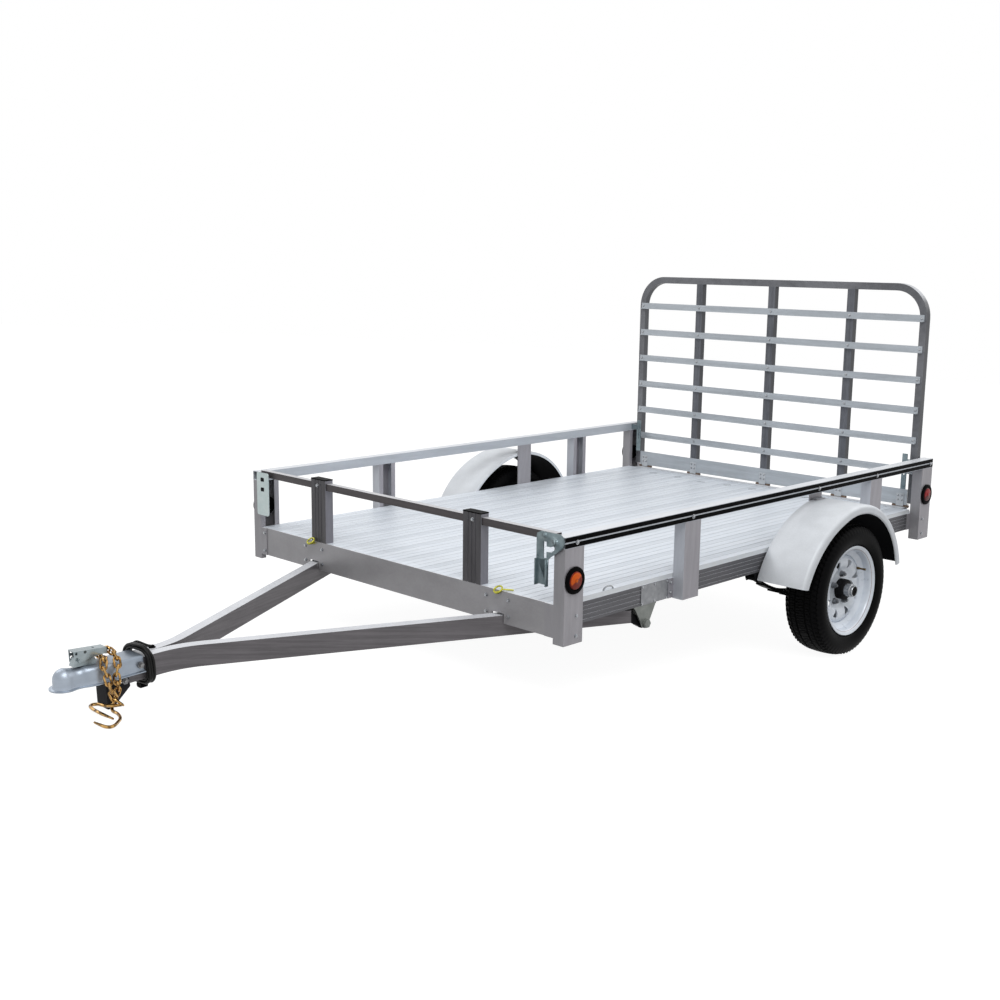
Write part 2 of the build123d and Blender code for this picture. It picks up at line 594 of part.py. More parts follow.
def tongue_bolts():
    """The coupler's rear bolt and the chains' bolt below it: heads with thread on the left, plain on the right."""
    heads = []
    for y, z, face in ((-1047.0, -20.0, coupler_half), (-1101.0, -58.0, beam_lay + beam_width / 2)):
        head = Pos(y, z) * RegularPolygon(11, 6)
        heads += [along_x(head, face, face + 9) + rod_x(y, z, 6, face, face + 15), along_x(head, -face - 7, -face)]
    return heads


def parking_foot():
    """Pressed channel leg under the coupler; its sole lies flat on the floor."""
    w, t = foot_half, 4.0
    fall = -math.tan(math.radians(tongue_slope + park_angle))
    front, back_top = foot_ty - 1.0, foot_ty + 79.0
    sole = foot_tz - t

    def low(ty):
        return foot_tz + (ty - foot_ty) * fall

    side = polygon([(front, low(front)), (front, -62.0), (back_top, -beam_height - 0.2), (back_top, -84.0),
                    (foot_ty + 14, low(foot_ty + 14))])
    outer = along_x(side, -w, w)
    hollow = polygon([(front + t, low(front) - 5), (front + t, -50.0), (back_top + 5, -50.0), (back_top + 5, -200.0)])
    leg = outer - along_x(hollow, -w + t, w - t)
    leg -= block((-w - 1, w + 1), (beam_front, back_top + 1), (-beam_height, 10))
    pad = polygon([(front, low(front)), (foot_ty + 14, low(foot_ty + 14)), (foot_ty + 14, low(foot_ty + 14) + t),
                   (front, low(front) + t)])
    return leg + along_x(pad, -w, w)


def solve_park_angle():
    """Nose-down angle at which the tyres and the foot stand on one plane."""
    dy, dz = axle_y - foot_y, axle_z - foot_low
    reach = math.hypot(dy, dz)
    return math.degrees(math.asin(tyre_radius / reach) - math.atan2(dz, dy))


park_angle = solve_park_angle()
foot_ty, foot_tz = to_tongue(foot_y, foot_low)


def chain_link(start, end, turn):
    """One link between two joints of a chain, flat in a plane rolled about its length."""
    start, end = Vector(*start), Vector(*end)
    along = (end - start).normalized()
    length, wire = (end - start).length + 2 * link_wire, link_wire

    def ring(l, w):
        c = w * 0.28
        return polygon([(-l / 2 + c, -w / 2), (l / 2 - c, -w / 2), (l / 2, -w / 2 + c), (l / 2, w / 2 - c),
                        (l / 2 - c, w / 2), (-l / 2 + c, w / 2), (-l / 2, w / 2 - c), (-l / 2, -w / 2 + c)])

    across = along.cross(Vector(1, 0, 0) if abs(along.X) < 0.8 else Vector(0, 1, 0)).normalized()
    normal = along.cross(across) if turn else across
    plane = Plane(origin=(start + end) * 0.5, x_dir=along, z_dir=normal)
    outline = ring(length, link_width) - ring(length - 2 * wire, link_width - 2 * wire)
    return extrude(plane * outline, wire / 2, both=True)


def chain(points):
    """Links from joint to joint along a smooth curve, each a quarter turn from the last."""
    curve = Spline(*points)
    count = round(curve.length / link_pitch)
    joints = [tuple(curve @ (i / count)) for i in range(count + 1)]
    links = [chain_link(a, b, i % 2) for i, (a, b) in enumerate(zip(joints, joints[1:]))]
    return links[0].fuse(*links[1:])


def hook(points):
    """An open hook of thick wire: straight runs joined by arcs."""
    path = FilletPolyline(*points, radius=8.0)
    return sweep(Plane(origin=path @ 0, z_dir=path % 0) * RegularPolygon(hook_wire, 6), path=path)


def harness_coil():
    """The wound cable as one ring with rounded corners, turned a little about the upright."""
    w, high, low, r = coil_half, coil_high, coil_low, coil_corner

    def outline(grow):
        face = rect(-w - grow, w + grow, low - grow, high + grow)
        return fillet(face.vertices(), r + grow)

    grow = coil_radial / 2
    ring = along_y(outline(grow) - outline(-grow), -coil_depth / 2, coil_depth / 2)
    edges = ring.edges().filter_by(lambda e: abs(abs(e.center().Y) - coil_depth / 2) < 0.1)
    return Pos(coil_x, coil_y, 0) * Rot(Z=coil_turn) * chamfer(edges, 4.0)


def harness_lead():
    """The stretch of cable from the grommet to the coil."""
    runs = [(Vector(*b) - Vector(*a)) for a, b in zip(lead, lead[1:])]
    radii = []
    for a, b in zip(runs, runs[1:]):
        radii.append(0.45 * min(a.length, b.length) / math.tan(math.radians(a.get_angle(b)) / 2))
    path = FilletPolyline(*lead, radius=radii)
    tube = sweep(Plane(origin=path @ 0, z_dir=path % 0) * Circle(lead_radius), path=path)
    print("lead radii", [round(v) for v in radii], "length", round(path.length, 1), "volume", round(tube.volume),
          "of", round(math.pi * lead_radius ** 2 * path.length))
    return tube


def harness_grommet():
    """Rubber boot on the right beam that the cable comes out of."""
    x, y, z = lead[0]
    return along_y(Pos(x, z) * Circle(9), y, y + 18) - block((x - 20, x + 20), (y - 5, y + 25), (-9, 0))


def harness_plug():
    """Flat connector that hangs from the coil's lowest turn."""
    top = coil_low - coil_radial / 2
    plug = block((-9, 19), (coil_y - 12, coil_y + 12), (top - 16, top))
    return chamfer(plug.edges().filter_by(Axis.Y), 4.0)


# The bed's nodes
keep("front_crossmember", front_crossmember())
keep("side_frame_left", side_frame())
keep("side_frame_right", mirror(side_frame(), about=Plane.YZ))
keep("cross_bearers", *(cross_bearer(y) for y in bearer_places))
keep("rear_crossmember", rear_crossmember())
keep("deck_planks", *deck_planks())
keep("corner_posts", *both_sides(lipped_post(front_post, corner_foot, "front face")),
     *both_sides(lipped_post(rear_post, corner_foot, "side face")))
keep("mid_posts", *(p for y in mid_posts for p in both_sides(lipped_post(y, mid_foot, "side face"))))
keep("side_rail_left", side_rail())
keep("side_rail_right", mirror(side_rail(), about=Plane.YZ))
keep("front_stakes", front_stake(stake_place), front_stake(-stake_place))
keep("stake_caps", stake_cap(stake_place), stake_cap(-stake_place))
keep("front_rail", front_rail())
keep("front_latches", *both_sides(front_latch()))
keep("gate_keepers", *both_sides(gate_latch()))
keep("lock_pins", *lock_pins())
lamp_spots = {"front": (front_post + post_width / 2, 82.0), "rear": (rear_post + post_width / 2, 70.0)}
keep("lamp_grommets", *(r for spot in lamp_spots.values() for r in both_sides(lamp_ring(*spot))))
keep("marker_lamps", *both_sides(lamp_lens(*lamp_spots["front"])))
keep("tail_lamps", *both_sides(lamp_lens(*lamp_spots["rear"])))
keep("tilt_hanger_left", tilt_hanger(lug_places[1], frame_bottom, 410.0, 530.0, 1))
keep("tilt_hanger_right", tilt_hanger(lug_places[-1], frame_top - bearer_height, 445.0, 504.0, 1))
keep("fender_left", fender())
keep("fender_right", mirror(fender(), about=Plane.YZ))
keep("fender_braces", *both_sides(fender_brace()))
keep("leaf_springs", *both_sides(leaf_spring()))
keep("spring_hangers", *(s for part in spring_hangers() for s in both_sides(part)))
keep("spring_clamps", *both_sides(spring_clamp()))
keep("axle", axle())
keep("bed_hinges", *(hinge_on_bed(x) for x in hinge_places))

# The wheels' nodes
for side, flip in (("left", False), ("right", True)):
    for name, make in (("tyre", tyre), ("rim", rim), ("hub", hub)):
        shape = make()
        keep(f"{name}_{side}", mirror(shape, about=Plane.YZ) if flip else shape)

# The gate's nodes
keep("gate_frame", gate_frame())
keep("gate_uprights", *(gate_upright(x) for x in upright_places))
keep("gate_slats", *(gate_slat(top) for top in slat_tops))
keep("gate_plate", gate_plate())
keep("gate_hinges", *(hinge_on_gate(x) for x in hinge_places))

# The tongue's nodes
tongue_parts = {
    "tongue_beam_left": [under_side_frame(beam(1))],
    "tongue_beam_right": [beam(-1)],
    "pivot_lugs": [under_side_frame(pivot_lug(1)), pivot_lug(-1)],
    "coupler": [coupler()],
    "coupler_lever": [coupler_lever()],
    "parking_foot": [parking_foot()],
    "tongue_bolts": tongue_bolts(),
    "safety_chains": [chain(front_chain), chain(rear_chain)],
    "chain_hooks": [hook(front_hook), hook(rear_hook)],
    "harness_coil": [harness_coil()],
    "harness_lead": [harness_lead()],
    "harness_grommet": [harness_grommet()],
    "harness_plug": [harness_plug()],
}
for name, shapes in tongue_parts.items():
    keep(name, *(tongue_frame * s for s in shapes))

# Set the trailer down: turn it about the axle, then put the middle of its base at the origin.
stand = Pos(0, 0, tyre_radius) * Rot(X=park_angle) * Pos(0, -axle_y, -axle_z)
parked = {name: stand * shape for name, shape in nodes.items()}
whole = Compound(children=[s for shape in parked.values() for s in shape.solids()]).bounding_box()
middle = (whole.min.Y + whole.max.Y) / 2
os.makedirs("parts", exist_ok=True)
for name, shape in parked.items():
    export_step(Pos(0, -middle, 0) * shape, f"parts/{name}.step")


def world(y, z):
    p = (Pos(0, -middle, 0) * stand * Pos(0, y, z)).position
    return round(p.Y, 3), round(p.Z, 3)


print("park angle", round(park_angle, 4), "base middle", round(middle, 3))
print("size", [round(v, 1) for v in (whole.size.X, whole.size.Y, whole.max.Z)], "lowest", round(whole.min.Z, 3))
for label, y, z in (("tilt pivot", pivot_y, pivot_z), ("axle", axle_y, axle_z), ("gate hinge", hinge_y, hinge_z),
                    ("deck middle", bed_length / 2, deck_top)):
    print(label, world(y, z))
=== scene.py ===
import math

import bmesh
import bpy
import mathutils
import numpy as np
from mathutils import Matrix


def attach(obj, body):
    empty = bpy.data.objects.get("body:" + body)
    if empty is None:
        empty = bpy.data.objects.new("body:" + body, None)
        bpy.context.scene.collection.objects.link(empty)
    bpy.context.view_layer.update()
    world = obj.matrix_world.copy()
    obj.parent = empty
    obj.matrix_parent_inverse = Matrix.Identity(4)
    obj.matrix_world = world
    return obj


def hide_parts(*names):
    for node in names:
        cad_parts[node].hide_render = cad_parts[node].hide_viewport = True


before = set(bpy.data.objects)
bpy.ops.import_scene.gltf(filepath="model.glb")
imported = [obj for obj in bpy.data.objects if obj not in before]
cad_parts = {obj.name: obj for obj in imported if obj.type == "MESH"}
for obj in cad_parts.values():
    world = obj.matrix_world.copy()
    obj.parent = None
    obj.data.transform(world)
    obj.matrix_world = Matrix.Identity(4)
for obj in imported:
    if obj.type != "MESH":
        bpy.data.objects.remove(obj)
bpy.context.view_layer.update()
print("trailer loaded:", len(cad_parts), "nodes")


# Places. Sizes below are in millimetres: x to the left, y rearward from the bed's front, z up from
# the deck. The tongue has its own lengthwise and upward directions. Both lean with the parked trailer.

parking = {"lean": 3.968924, "fall": 2.46, "tongueTop": -84.6, "axleY": 1540.0, "axleZ": -193.0,
           "tyreRadius": 265.0, "middle": -979.16}
lampPlaces = {"front": (42.5, 82.0), "rear": (2392.5, 70.0)}
lean, fall = math.radians(parking["lean"]), math.radians(parking["fall"])


def fromBed(points):
    # turn about the axle by the lean, then set the tyre on the ground
    p = np.asarray(points, float)
    y, z = p[..., 1] - parking["axleY"], p[..., 2] - parking["axleZ"]
    ahead = y * math.cos(lean) - z * math.sin(lean) - parking["middle"]
    height = y * math.sin(lean) + z * math.cos(lean) + parking["tyreRadius"]
    return np.stack([p[..., 0], ahead, height], -1) / 1000


def fromTongue(points):
    # tip the tongue's own plane by its fall, then as for the bed
    p = np.asarray(points, float)
    y = p[..., 1] * math.cos(fall) - p[..., 2] * math.sin(fall)
    z = parking["tongueTop"] + p[..., 1] * math.sin(fall) + p[..., 2] * math.cos(fall)
    return fromBed(np.stack([p[..., 0], y, z], -1))


def addObject(name, data):
    made = bpy.data.objects.new(name, data)
    bpy.context.scene.collection.objects.link(made)
    return made


# Camera

view = {"place": (3.51566, -3.61263, 1.2488), "yaw": 44.38869, "pitch": 7.97596, "roll": 3.47607,
        "lens": 46.6308}


def addCamera():
    made = addObject("viewCamera", bpy.data.cameras.new("viewCamera"))
    yaw, pitch, roll = (math.radians(view[k]) for k in ("yaw", "pitch", "roll"))
    ahead = np.array([-math.sin(yaw) * math.cos(pitch), math.cos(yaw) * math.cos(pitch), -math.sin(pitch)])
    level = np.array([math.cos(yaw), math.sin(yaw), 0.0])
    above = np.cross(level, ahead)
    right = math.cos(roll) * level + math.sin(roll) * above
    top = -math.sin(roll) * level + math.cos(roll) * above
    basis = mathutils.Matrix(np.column_stack([right, top, -ahead]).tolist()).to_4x4()
    made.matrix_world = mathutils.Matrix.Translation(view["place"]) @ basis
    made.data.sensor_width, made.data.sensor_fit = 36.0, "HORIZONTAL"
    made.data.lens, made.data.clip_end = view["lens"], 100.0
    bpy.context.scene.camera = made


addCamera()


# Materials

class Wire:
    # an output socket: each operator adds the Math node for it
    def __init__(self, maker, socket):
        self.maker, self.socket = maker, socket

    def math(self, operation, *others):
        inputs = {0: self, **{i + 1: other for i, other in enumerate(others)}}
        return self.maker.node("ShaderNodeMath", {"operation": operation}, inputs)

    def __add__(self, other):
        return self.math("ADD", other)

    def __sub__(self, other):
        return self.math("SUBTRACT", other)

    def __mul__(self, other):
        return self.math("MULTIPLY", other)

    def __abs__(self):
        return self.math("ABSOLUTE")

    __radd__ = __add__
    __rmul__ = __mul__

    def __rsub__(self, other):
        return self.maker.node("ShaderNodeMath", {"operation": "SUBTRACT"}, {0: other, 1: self})

    def clip(self):
        return self.maker.node("ShaderNodeClamp", {}, {"Value": self})


class Finish:
    # one material, with one method that makes any node
    def __init__(self, name):
        self.material = bpy.data.materials.new(name)
        self.material.use_nodes = True
        self.tree = self.material.node_tree
        self.shader = self.tree.nodes["Principled BSDF"]

    def node(self, kind, settings, inputs, out=0):
        made = self.tree.nodes.new(kind)
        for key, value in settings.items():
            setattr(made, key, value)
        for key, value in inputs.items():
            self.put(made.inputs[key], value)
        return Wire(self, made.outputs[out])

    def put(self, socket, value):
        if isinstance(value, Wire):
            self.tree.links.new(value.socket, socket)
        elif isinstance(value, (tuple, list)) and len(value) == 3 and socket.type == "RGBA":
            socket.default_value = (*value, 1)
        else:
            socket.default_value = value

    def set(self, **sockets):
        for key, value in sockets.items():
            self.put(self.shader.inputs[key.replace("_", " ")], value)
        return self

    def place(self, scale=(1, 1, 1)):
        # object place, turned level with the deck, so that y runs along the trailer
        where = self.node("ShaderNodeTexCoord", {}, {}, 3)
        inputs = {"Vector": where, "Rotation": (-lean, 0, 0), "Scale": scale}
        return self.node("ShaderNodeMapping", {}, inputs)

    def about(self, y, z):
        # object place from a line across the bed: rearward, upward and straight away from it
        middle = fromBed((0, y, z))
        _, back, up = self.split(self.node("ShaderNodeTexCoord", {}, {}, 3))
        back, up = back - float(middle[1]), up - float(middle[2])
        return back, up, (back * back + up * up).math("SQRT")

    def facing(self):
        # how far the surface looks up
        return self.split(self.node("ShaderNodeTexCoord", {}, {}, 1))[2]

    def noise(self, where, scale, detail=3.0, rough=0.5):
        return self.node("ShaderNodeTexNoise", {}, {"Vector": where, "Scale": scale, "Detail": detail,
                                                    "Roughness": rough})

    def split(self, where):
        made = self.node("ShaderNodeSeparateXYZ", {}, {0: where})
        return [Wire(self, s) for s in made.socket.node.outputs]

    def mix(self, share, first, second):
        made = self.node("ShaderNodeMix", {"data_type": "RGBA"}, {0: share, 6: first, 7: second})
        return Wire(self, made.socket.node.outputs[2])

    def bump(self, height, strength=0.3, distance=0.001):
        made = self.node("ShaderNodeBump", {}, {"Height": height, "Strength": strength, "Distance": distance})
        self.put(self.shader.inputs["Normal"], made)
        return self


def grey(*levels):
    # a display colour of 0 to 255 as the linear one that a shader takes
    r, g, b = (levels * 3)[:3]
    return tuple(((v / 255 + 0.055) / 1.055) ** 2.4 if v > 10 else v / 255 / 12.92 for v in (r, g, b))


def times(colour, factor):
    return tuple(min(0.98, c * factor) for c in colour)


def aluminium(name, side, top=None, under=None, along=(16, 1, 16), rough=0.42, metal=0.3, ribs=0.0,
              flank=None, change=0.12):
    # mill aluminium: drawn streaks along the bar, soft clouds, and painted light by facing: a painted lit
    # tone on top, painted shade below and a painted tone of light and shade on its ends (the faces that look
    # along x)
    made = Finish(name)
    where = made.place(along)
    broad, fine = made.noise(where, 3.4, 3), made.noise(where, 34.0, 3)
    cloud = made.noise(made.place(), 6.0, 4)
    tone = ((broad - 0.5) * 2.4 + (fine - 0.5) * 1.5 + (cloud - 0.5) * 0.9 + 0.5).clip()
    colour = made.mix(tone, times(side, 1 - change), times(side, 1 + change))
    x, _, z = made.split(made.node("ShaderNodeTexCoord", {}, {}, 1))
    # painted light and shade: faces that look along x take the flank tone
    if flank:
        sides = made.mix(tone, times(flank, 0.9), times(flank, 1.08))
        colour = made.mix((abs(x) * 3.0 - 1.6).clip(), colour, sides)
    # painted light: faces that look up take a paler top tone
    if top:
        colour = made.mix((z * 3.0 - 1.4).clip(), colour, made.mix(tone, times(top, 0.94), times(top, 1.03)))
    # painted shade: faces that look down take the darker under tone
    if under:
        colour = made.mix((z * -3.0 - 1.4).clip(), colour, under)
    height = fine
    if ribs:
        level = made.split(made.place())[2]
        wave = level.math("PINGPONG", ribs) * (1 / ribs)
        colour = made.mix(((wave - 0.75) * 4.0).clip() * 0.16, colour, times(side, 0.6))
        height = wave + fine * 0.2
    made.set(Base_Color=colour, Metallic=metal, Roughness=fine * 0.16 + rough - 0.08, Specular_IOR_Level=0.3)
    return made.bump(height, 0.25, 0.0005).material


def plain(name, colour, rough=0.5, metal=0.0, scale=60.0, change=0.2, bump=0.15):
    # a cast, plated or painted surface: its colour and gloss drift with one grain
    made = Finish(name)
    grain = made.noise(made.place(), scale, 4)
    made.set(Base_Color=made.mix(grain, times(colour, 1 - change), times(colour, 1 + change)), Metallic=metal,
             Roughness=(grain * 0.2 + rough - 0.1), Specular_IOR_Level=0.02)
    return made.bump(grain, bump, 0.0005).material


def plated(name, colour, stain, rough=0.28, metal=0.75, cloudScale=34.0, spangle=0.12, edge=2.0):
    # zinc plate: faint spangle, a second tint that pools in soft clouds, and painted shade on faces that look
    # down
    made = Finish(name)
    patch = made.node("ShaderNodeTexVoronoi", {"feature": "F1"}, {"Vector": made.place(), "Scale": 90.0}, 1)
    grain = made.split(patch)[0]
    cloud = made.noise(made.place(), cloudScale, 3)
    z = made.facing()
    tint = made.mix(((cloud - 0.5) * edge + 0.3).clip(), colour, stain)
    # painted shade: faces that look down are darkened toward a third of the colour
    tint = made.mix((z * -1.6 + 0.1).clip() * 0.45, tint, times(colour, 0.3))
    made.set(Base_Color=made.mix(grain * spangle, tint, times(colour, 0.6)), Metallic=metal,
             Roughness=(cloud * 0.2 + rough - 0.1))
    return made.bump(cloud + grain * 0.2, 0.08, 0.0005).material


hingeLine = (2396, 2)


def hingeMetal():
    # rusty brown round the hinge's own line, plain plate away from it
    made = Finish("hingeMetal")
    away = made.about(*hingeLine)[2]
    cloud = made.noise(made.place(), 60.0, 4)
    brown = made.mix(cloud, grey(92, 76, 66), grey(140, 118, 100))
    plate = made.mix(cloud, grey(178, 183, 188), grey(196, 200, 204))
    made.set(Base_Color=made.mix(((away - 0.0085) * 900.0).clip(), brown, plate), Metallic=0.3,
             Roughness=cloud * 0.2 + 0.36)
    return made.bump(cloud, 0.1, 0.0004).material


deck = {"width": 1614.0, "planks": 11,
        # place across a plank, strength and sharpness of each groove's painted shade line
        "grooves": [(0.25, 0.2, 40.0), (0.5, 0.7, 34.0), (0.75, 0.08, 50.0)]}


def deckMetal():
    # planks: near-white top, painted shade lines in the grooves and seams, a flat pale tone on upright faces,
    # painted shade on faces that look down, drawn streaks
    made = Finish("deckPlanks")
    where = made.place((16, 1, 16))
    broad, fine = made.noise(where, 3.0, 2), made.noise(where, 40.0, 3)
    x = made.split(made.place())[0]
    pitch = deck["width"] / deck["planks"] / 1000
    across = (x + deck["width"] / 2000).math("WRAP", pitch, 0.0) * (1 / pitch)
    line = None
    # painted shade: a dark line along each groove
    for share, depth, width in deck["grooves"]:
        stroke = (1 - abs(across - share) * width).clip() * depth
        line = stroke if line is None else line + stroke
    # a broad soft darker band across each plank, added to the groove lines
    line = line + (1 - abs(across - 0.62) * 5.0).clip() * 0.28
    # painted shade in the seams between planks
    seamShade = (1 - (0.5 - abs(across - 0.5)) * 55.0).clip()
    side = made.facing()
    tone = made.mix((broad * 0.9 + fine * 0.4 - 0.15).clip(), grey(212, 220, 230), grey(234, 239, 246))
    tone = made.mix((line * 0.6 + seamShade * 0.95).clip(), tone, grey(112, 119, 128))
    tone = made.mix((side * 3.0 - 1.4).clip(), grey(222, 226, 230), tone)
    # painted shade: faces that look down are dark
    tone = made.mix((side * -3.0 - 1.4).clip(), tone, grey(70, 70, 74))
    made.set(Base_Color=tone, Metallic=0.2, Roughness=(fine * 0.14 + 0.36))
    return made.bump(fine * 0.4 - line, 0.2, 0.0006).material


def wheelMetal():
    # white-grey enamel on the rim with one thin stripe round its well, told by distance from the axle
    made = Finish("rimEnamel")
    away = made.about(parking["axleY"], parking["axleZ"])[2]
    grain = made.noise(made.place(), 40.0, 3)
    colour = made.mix(grain, grey(214, 222, 232), grey(238, 243, 250))
    stripe = (1 - abs(away - 0.1655) * 900.0).clip()
    colour = made.mix(stripe * 0.9, colour, grey(120, 62, 52))
    made.set(Base_Color=colour, Metallic=0.1, Roughness=grain * 0.1 + 0.24, Specular_IOR_Level=0.35)
    return made.bump(grain, 0.05, 0.0004).material


lensRadius = 0.0295


def lampGlass(name, colour, highlightColour, centre, toward):
    # moulded lens: rings and prisms as bump, a painted highlight over the half on the toward side, and a
    # painted bright core
    made = Finish(name)
    y, z, away = made.about(*centre)
    away = away * (1 / lensRadius)
    angle = y.math("ARCTAN2", z) * (1 / math.tau) + 1.0
    ring = away.math("PINGPONG", 0.06) * 16.0
    fans = angle.math("PINGPONG", 1 / 48) * 48.0
    upper = (y * toward[0] + z * toward[1]) * (1 / lensRadius)
    # painted highlight: the half of the lens on the toward side is paler
    half = (upper * 7.0 + 0.5).clip() * (1 - (away - 0.84) * 12.0).clip() * (1 - (0.3 - away) * 9.0).clip()
    # painted glow: a bright core in the middle of the lens
    paintedCore = (1 - (away - 0.12) * 9.0).clip()
    tone = made.mix(half * 0.85, colour, highlightColour)
    tone = made.mix(paintedCore * 0.8, tone, times(highlightColour, 1.4))
    tone = made.mix(fans * 0.18, tone, times(colour, 0.5))
    made.set(Base_Color=tone, Roughness=0.3, Specular_IOR_Level=0.2)
    return made.bump(ring * 0.6 + fans * 0.4, 0.3, 0.0012).material


def sidewall():
    # tyre rubber: matte black, slightly dusty in the tread
    made = Finish("tyreRubber")
    grain = made.noise(made.place(), 120.0, 4)
    cloud = made.noise(made.place(), 9.0, 3)
    made.set(Base_Color=made.mix(cloud, grey(4, 4, 5), grey(12, 12, 13)), Roughness=(grain * 0.2 + 0.42),
             Specular_IOR_Level=0.04)
    return made.bump(grain, 0.15, 0.0005).material


def cableSkin():
    # black jacket with a fine grain
    made = Finish("cableJacket")
    grain = made.noise(made.place(), 220.0, 4)
    made.set(Base_Color=made.mix(grain, grey(6), grey(13)), Roughness=grain * 0.2 + 0.3,
             Specular_IOR_Level=0.2)
    return made.bump(grain, 0.1, 0.0004).material


# painted light and shade: the paler colour is a painted lit tone for faces that look up, the darker one
# painted shade for faces that look down; the mill aluminium finishes below are one metal, each given its own
# side and flank tone by how light falls on that part
paintedUnderShade, paintedTopLight = grey(52, 51, 54), grey(222, 225, 230)
finishes = {
    "deck": deckMetal(),
    "crossmember": aluminium("crossmemberMetal", grey(152, 151, 154), paintedTopLight, paintedUnderShade, (3, 5, 5), change=0.07),
    "sideFrame": aluminium("sideFrameMetal", grey(98, 98, 102), paintedTopLight, paintedUnderShade, ribs=0.011),
    "underside": aluminium("undersideMetal", grey(96, 96, 100), paintedTopLight, paintedUnderShade, (1, 16, 16)),
    "post": aluminium("postMetal", grey(148, 147, 151), paintedTopLight, paintedUnderShade, (16, 16, 1), flank=grey(160, 158, 163),
                      change=0.05),
    "midPost": aluminium("midPostMetal", grey(184, 187, 194), paintedTopLight, paintedUnderShade, (16, 16, 1),
                         flank=grey(160, 158, 164), change=0.05),
    "rail": aluminium("sideRailMetal", grey(186, 191, 198), paintedTopLight, grey(110, 110, 114), change=0.06),
    "stake": aluminium("stakeMetal", grey(74, 73, 76), paintedTopLight, paintedUnderShade, (16, 16, 1), flank=grey(128, 127, 134),
                       change=0.2),
    "frontRail": aluminium("frontRailMetal", grey(72, 68, 70), grey(196, 196, 200), paintedUnderShade, (1, 16, 16),
                           change=0.2),
    "beam": aluminium("tongueMetal", grey(106, 103, 106), grey(214, 216, 221), grey(52, 50, 52), (1, 1, 34),
                      change=0.2),
    "gateTube": aluminium("gateTubeMetal", grey(108, 109, 113), grey(196, 198, 203), grey(70, 70, 74),
                          (1, 16, 1), flank=grey(86, 87, 91), change=0.2),
    "gateUpright": aluminium("gateUprightMetal", grey(96, 98, 104), grey(190, 192, 196), paintedUnderShade, (16, 16, 1),
                             flank=grey(70, 71, 75), change=0.25),
    "gateSlat": aluminium("gateSlatMetal", grey(176, 182, 188), grey(206, 209, 213), grey(96, 98, 102),
                          (1, 16, 16), change=0.1),
    "fender": aluminium("fenderSheet", grey(213, 217, 222), grey(222, 226, 231), None, (5, 5, 5), 0.5, 0.15,
                        change=0.04),
    "fenderUnder": plain("fenderLining", grey(28, 28, 30), 0.6),
    "zinc": plated("zincPlate", grey(138, 148, 160), grey(186, 195, 207), 0.36, 0.65, 8.0, 0.05),
    "lever": plated("leverPlate", grey(140, 152, 156), grey(178, 188, 192), 0.3, 0.6, 26.0),
    "latch": plated("latchPlate", grey(104, 120, 126), grey(150, 164, 168), 0.3, 0.6, 30.0),
    "palePlate": plated("palePlate", grey(196, 212, 212), grey(212, 222, 222), 0.35, 0.4, 20.0),
    "bolt": plated("boltZinc", grey(150, 154, 160), grey(204, 204, 204), 0.24, 0.8, 120.0),
    "nut": plated("nutZinc", grey(92, 95, 100), grey(140, 144, 150), 0.34, 0.35, 90.0),
    "hinge": hingeMetal(),
    "hanger": plated("hangerPlate", grey(118, 122, 118), grey(146, 150, 146), 0.4, 0.4),
    "black": plain("blackPaint", grey(26, 26, 28), 0.42),
    "footPaint": plain("footPaint", grey(62, 62, 65), 0.45),
    "yellow": plated("yellowZinc", grey(196, 156, 96), grey(66, 44, 24), 0.2, 0.97, 70.0, 0.1, 4.0),
    "pinYellow": plated("pinYellow", grey(196, 192, 62), grey(150, 150, 40), 0.3, 0.4, 60.0),
    "tyre": sidewall(),
    "rim": wheelMetal(),
    "rubber": plain("blackRubber", grey(7, 7, 8), 0.45),
    "gloss": plain("blackStripe", grey(2, 2, 3), 0.4, bump=0.03),
    "amber": lampGlass("amberLens", grey(128, 30, 4), grey(238, 104, 8), lampPlaces["front"], (-0.55, 0.84)),
    "red": lampGlass("redLens", grey(92, 2, 6), grey(172, 12, 18), lampPlaces["rear"], (-0.4, 0.9)),
    "cable": cableSkin(),
    "steelDark": plated("darkSteel", grey(110, 110, 112), grey(160, 160, 160), 0.3, 0.75, 90.0),
    "plate": plated("blankPlate", grey(158, 160, 164), grey(130, 132, 136), 0.4, 0.4, 60.0, 0.4),
    "brass": plated("valveBrass", grey(120, 100, 66), grey(60, 50, 38), 0.3, 0.7),
}
finishNodes = {
    "crossmember": "front_crossmember rear_crossmember", "underside": "cross_bearers",
    "sideFrame": "side_frame_left side_frame_right", "deck": "deck_planks",
    "post": "corner_posts fender_braces", "midPost": "mid_posts", "rail": "side_rail_left side_rail_right",
    "stake": "front_stakes stake_caps", "frontRail": "front_rail", "latch": "front_latches gate_keepers",
    "pinYellow": "lock_pins", "rubber": "lamp_grommets harness_grommet harness_plug",
    "amber": "marker_lamps", "red": "tail_lamps", "hanger": "tilt_hanger_left tilt_hanger_right",
    "fender": "fender_left fender_right",
    "black": "leaf_springs spring_hangers spring_clamps axle pivot_lugs", "tyre": "tyre_left tyre_right",
    "rim": "rim_left rim_right", "bolt": "hub_left hub_right", "gateTube": "gate_frame",
    "gateUpright": "gate_uprights", "gateSlat": "gate_slats gate_plate", "hinge": "bed_hinges gate_hinges",
    "beam": "tongue_beam_left tongue_beam_right", "zinc": "coupler", "lever": "coupler_lever",
    "footPaint": "parking_foot", "steelDark": "tongue_bolts", "yellow": "safety_chains chain_hooks",
    "cable": "harness_coil harness_lead",
}
for finishName, nodeNames in finishNodes.items():
    for nodeObject in [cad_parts[nodeName] for nodeName in nodeNames.split()]:
        if not nodeObject.material_slots:
            nodeObject.data.materials.append(finishes[finishName])
        for slot in nodeObject.material_slots:
            slot.material = finishes[finishName]
print("node materials set")


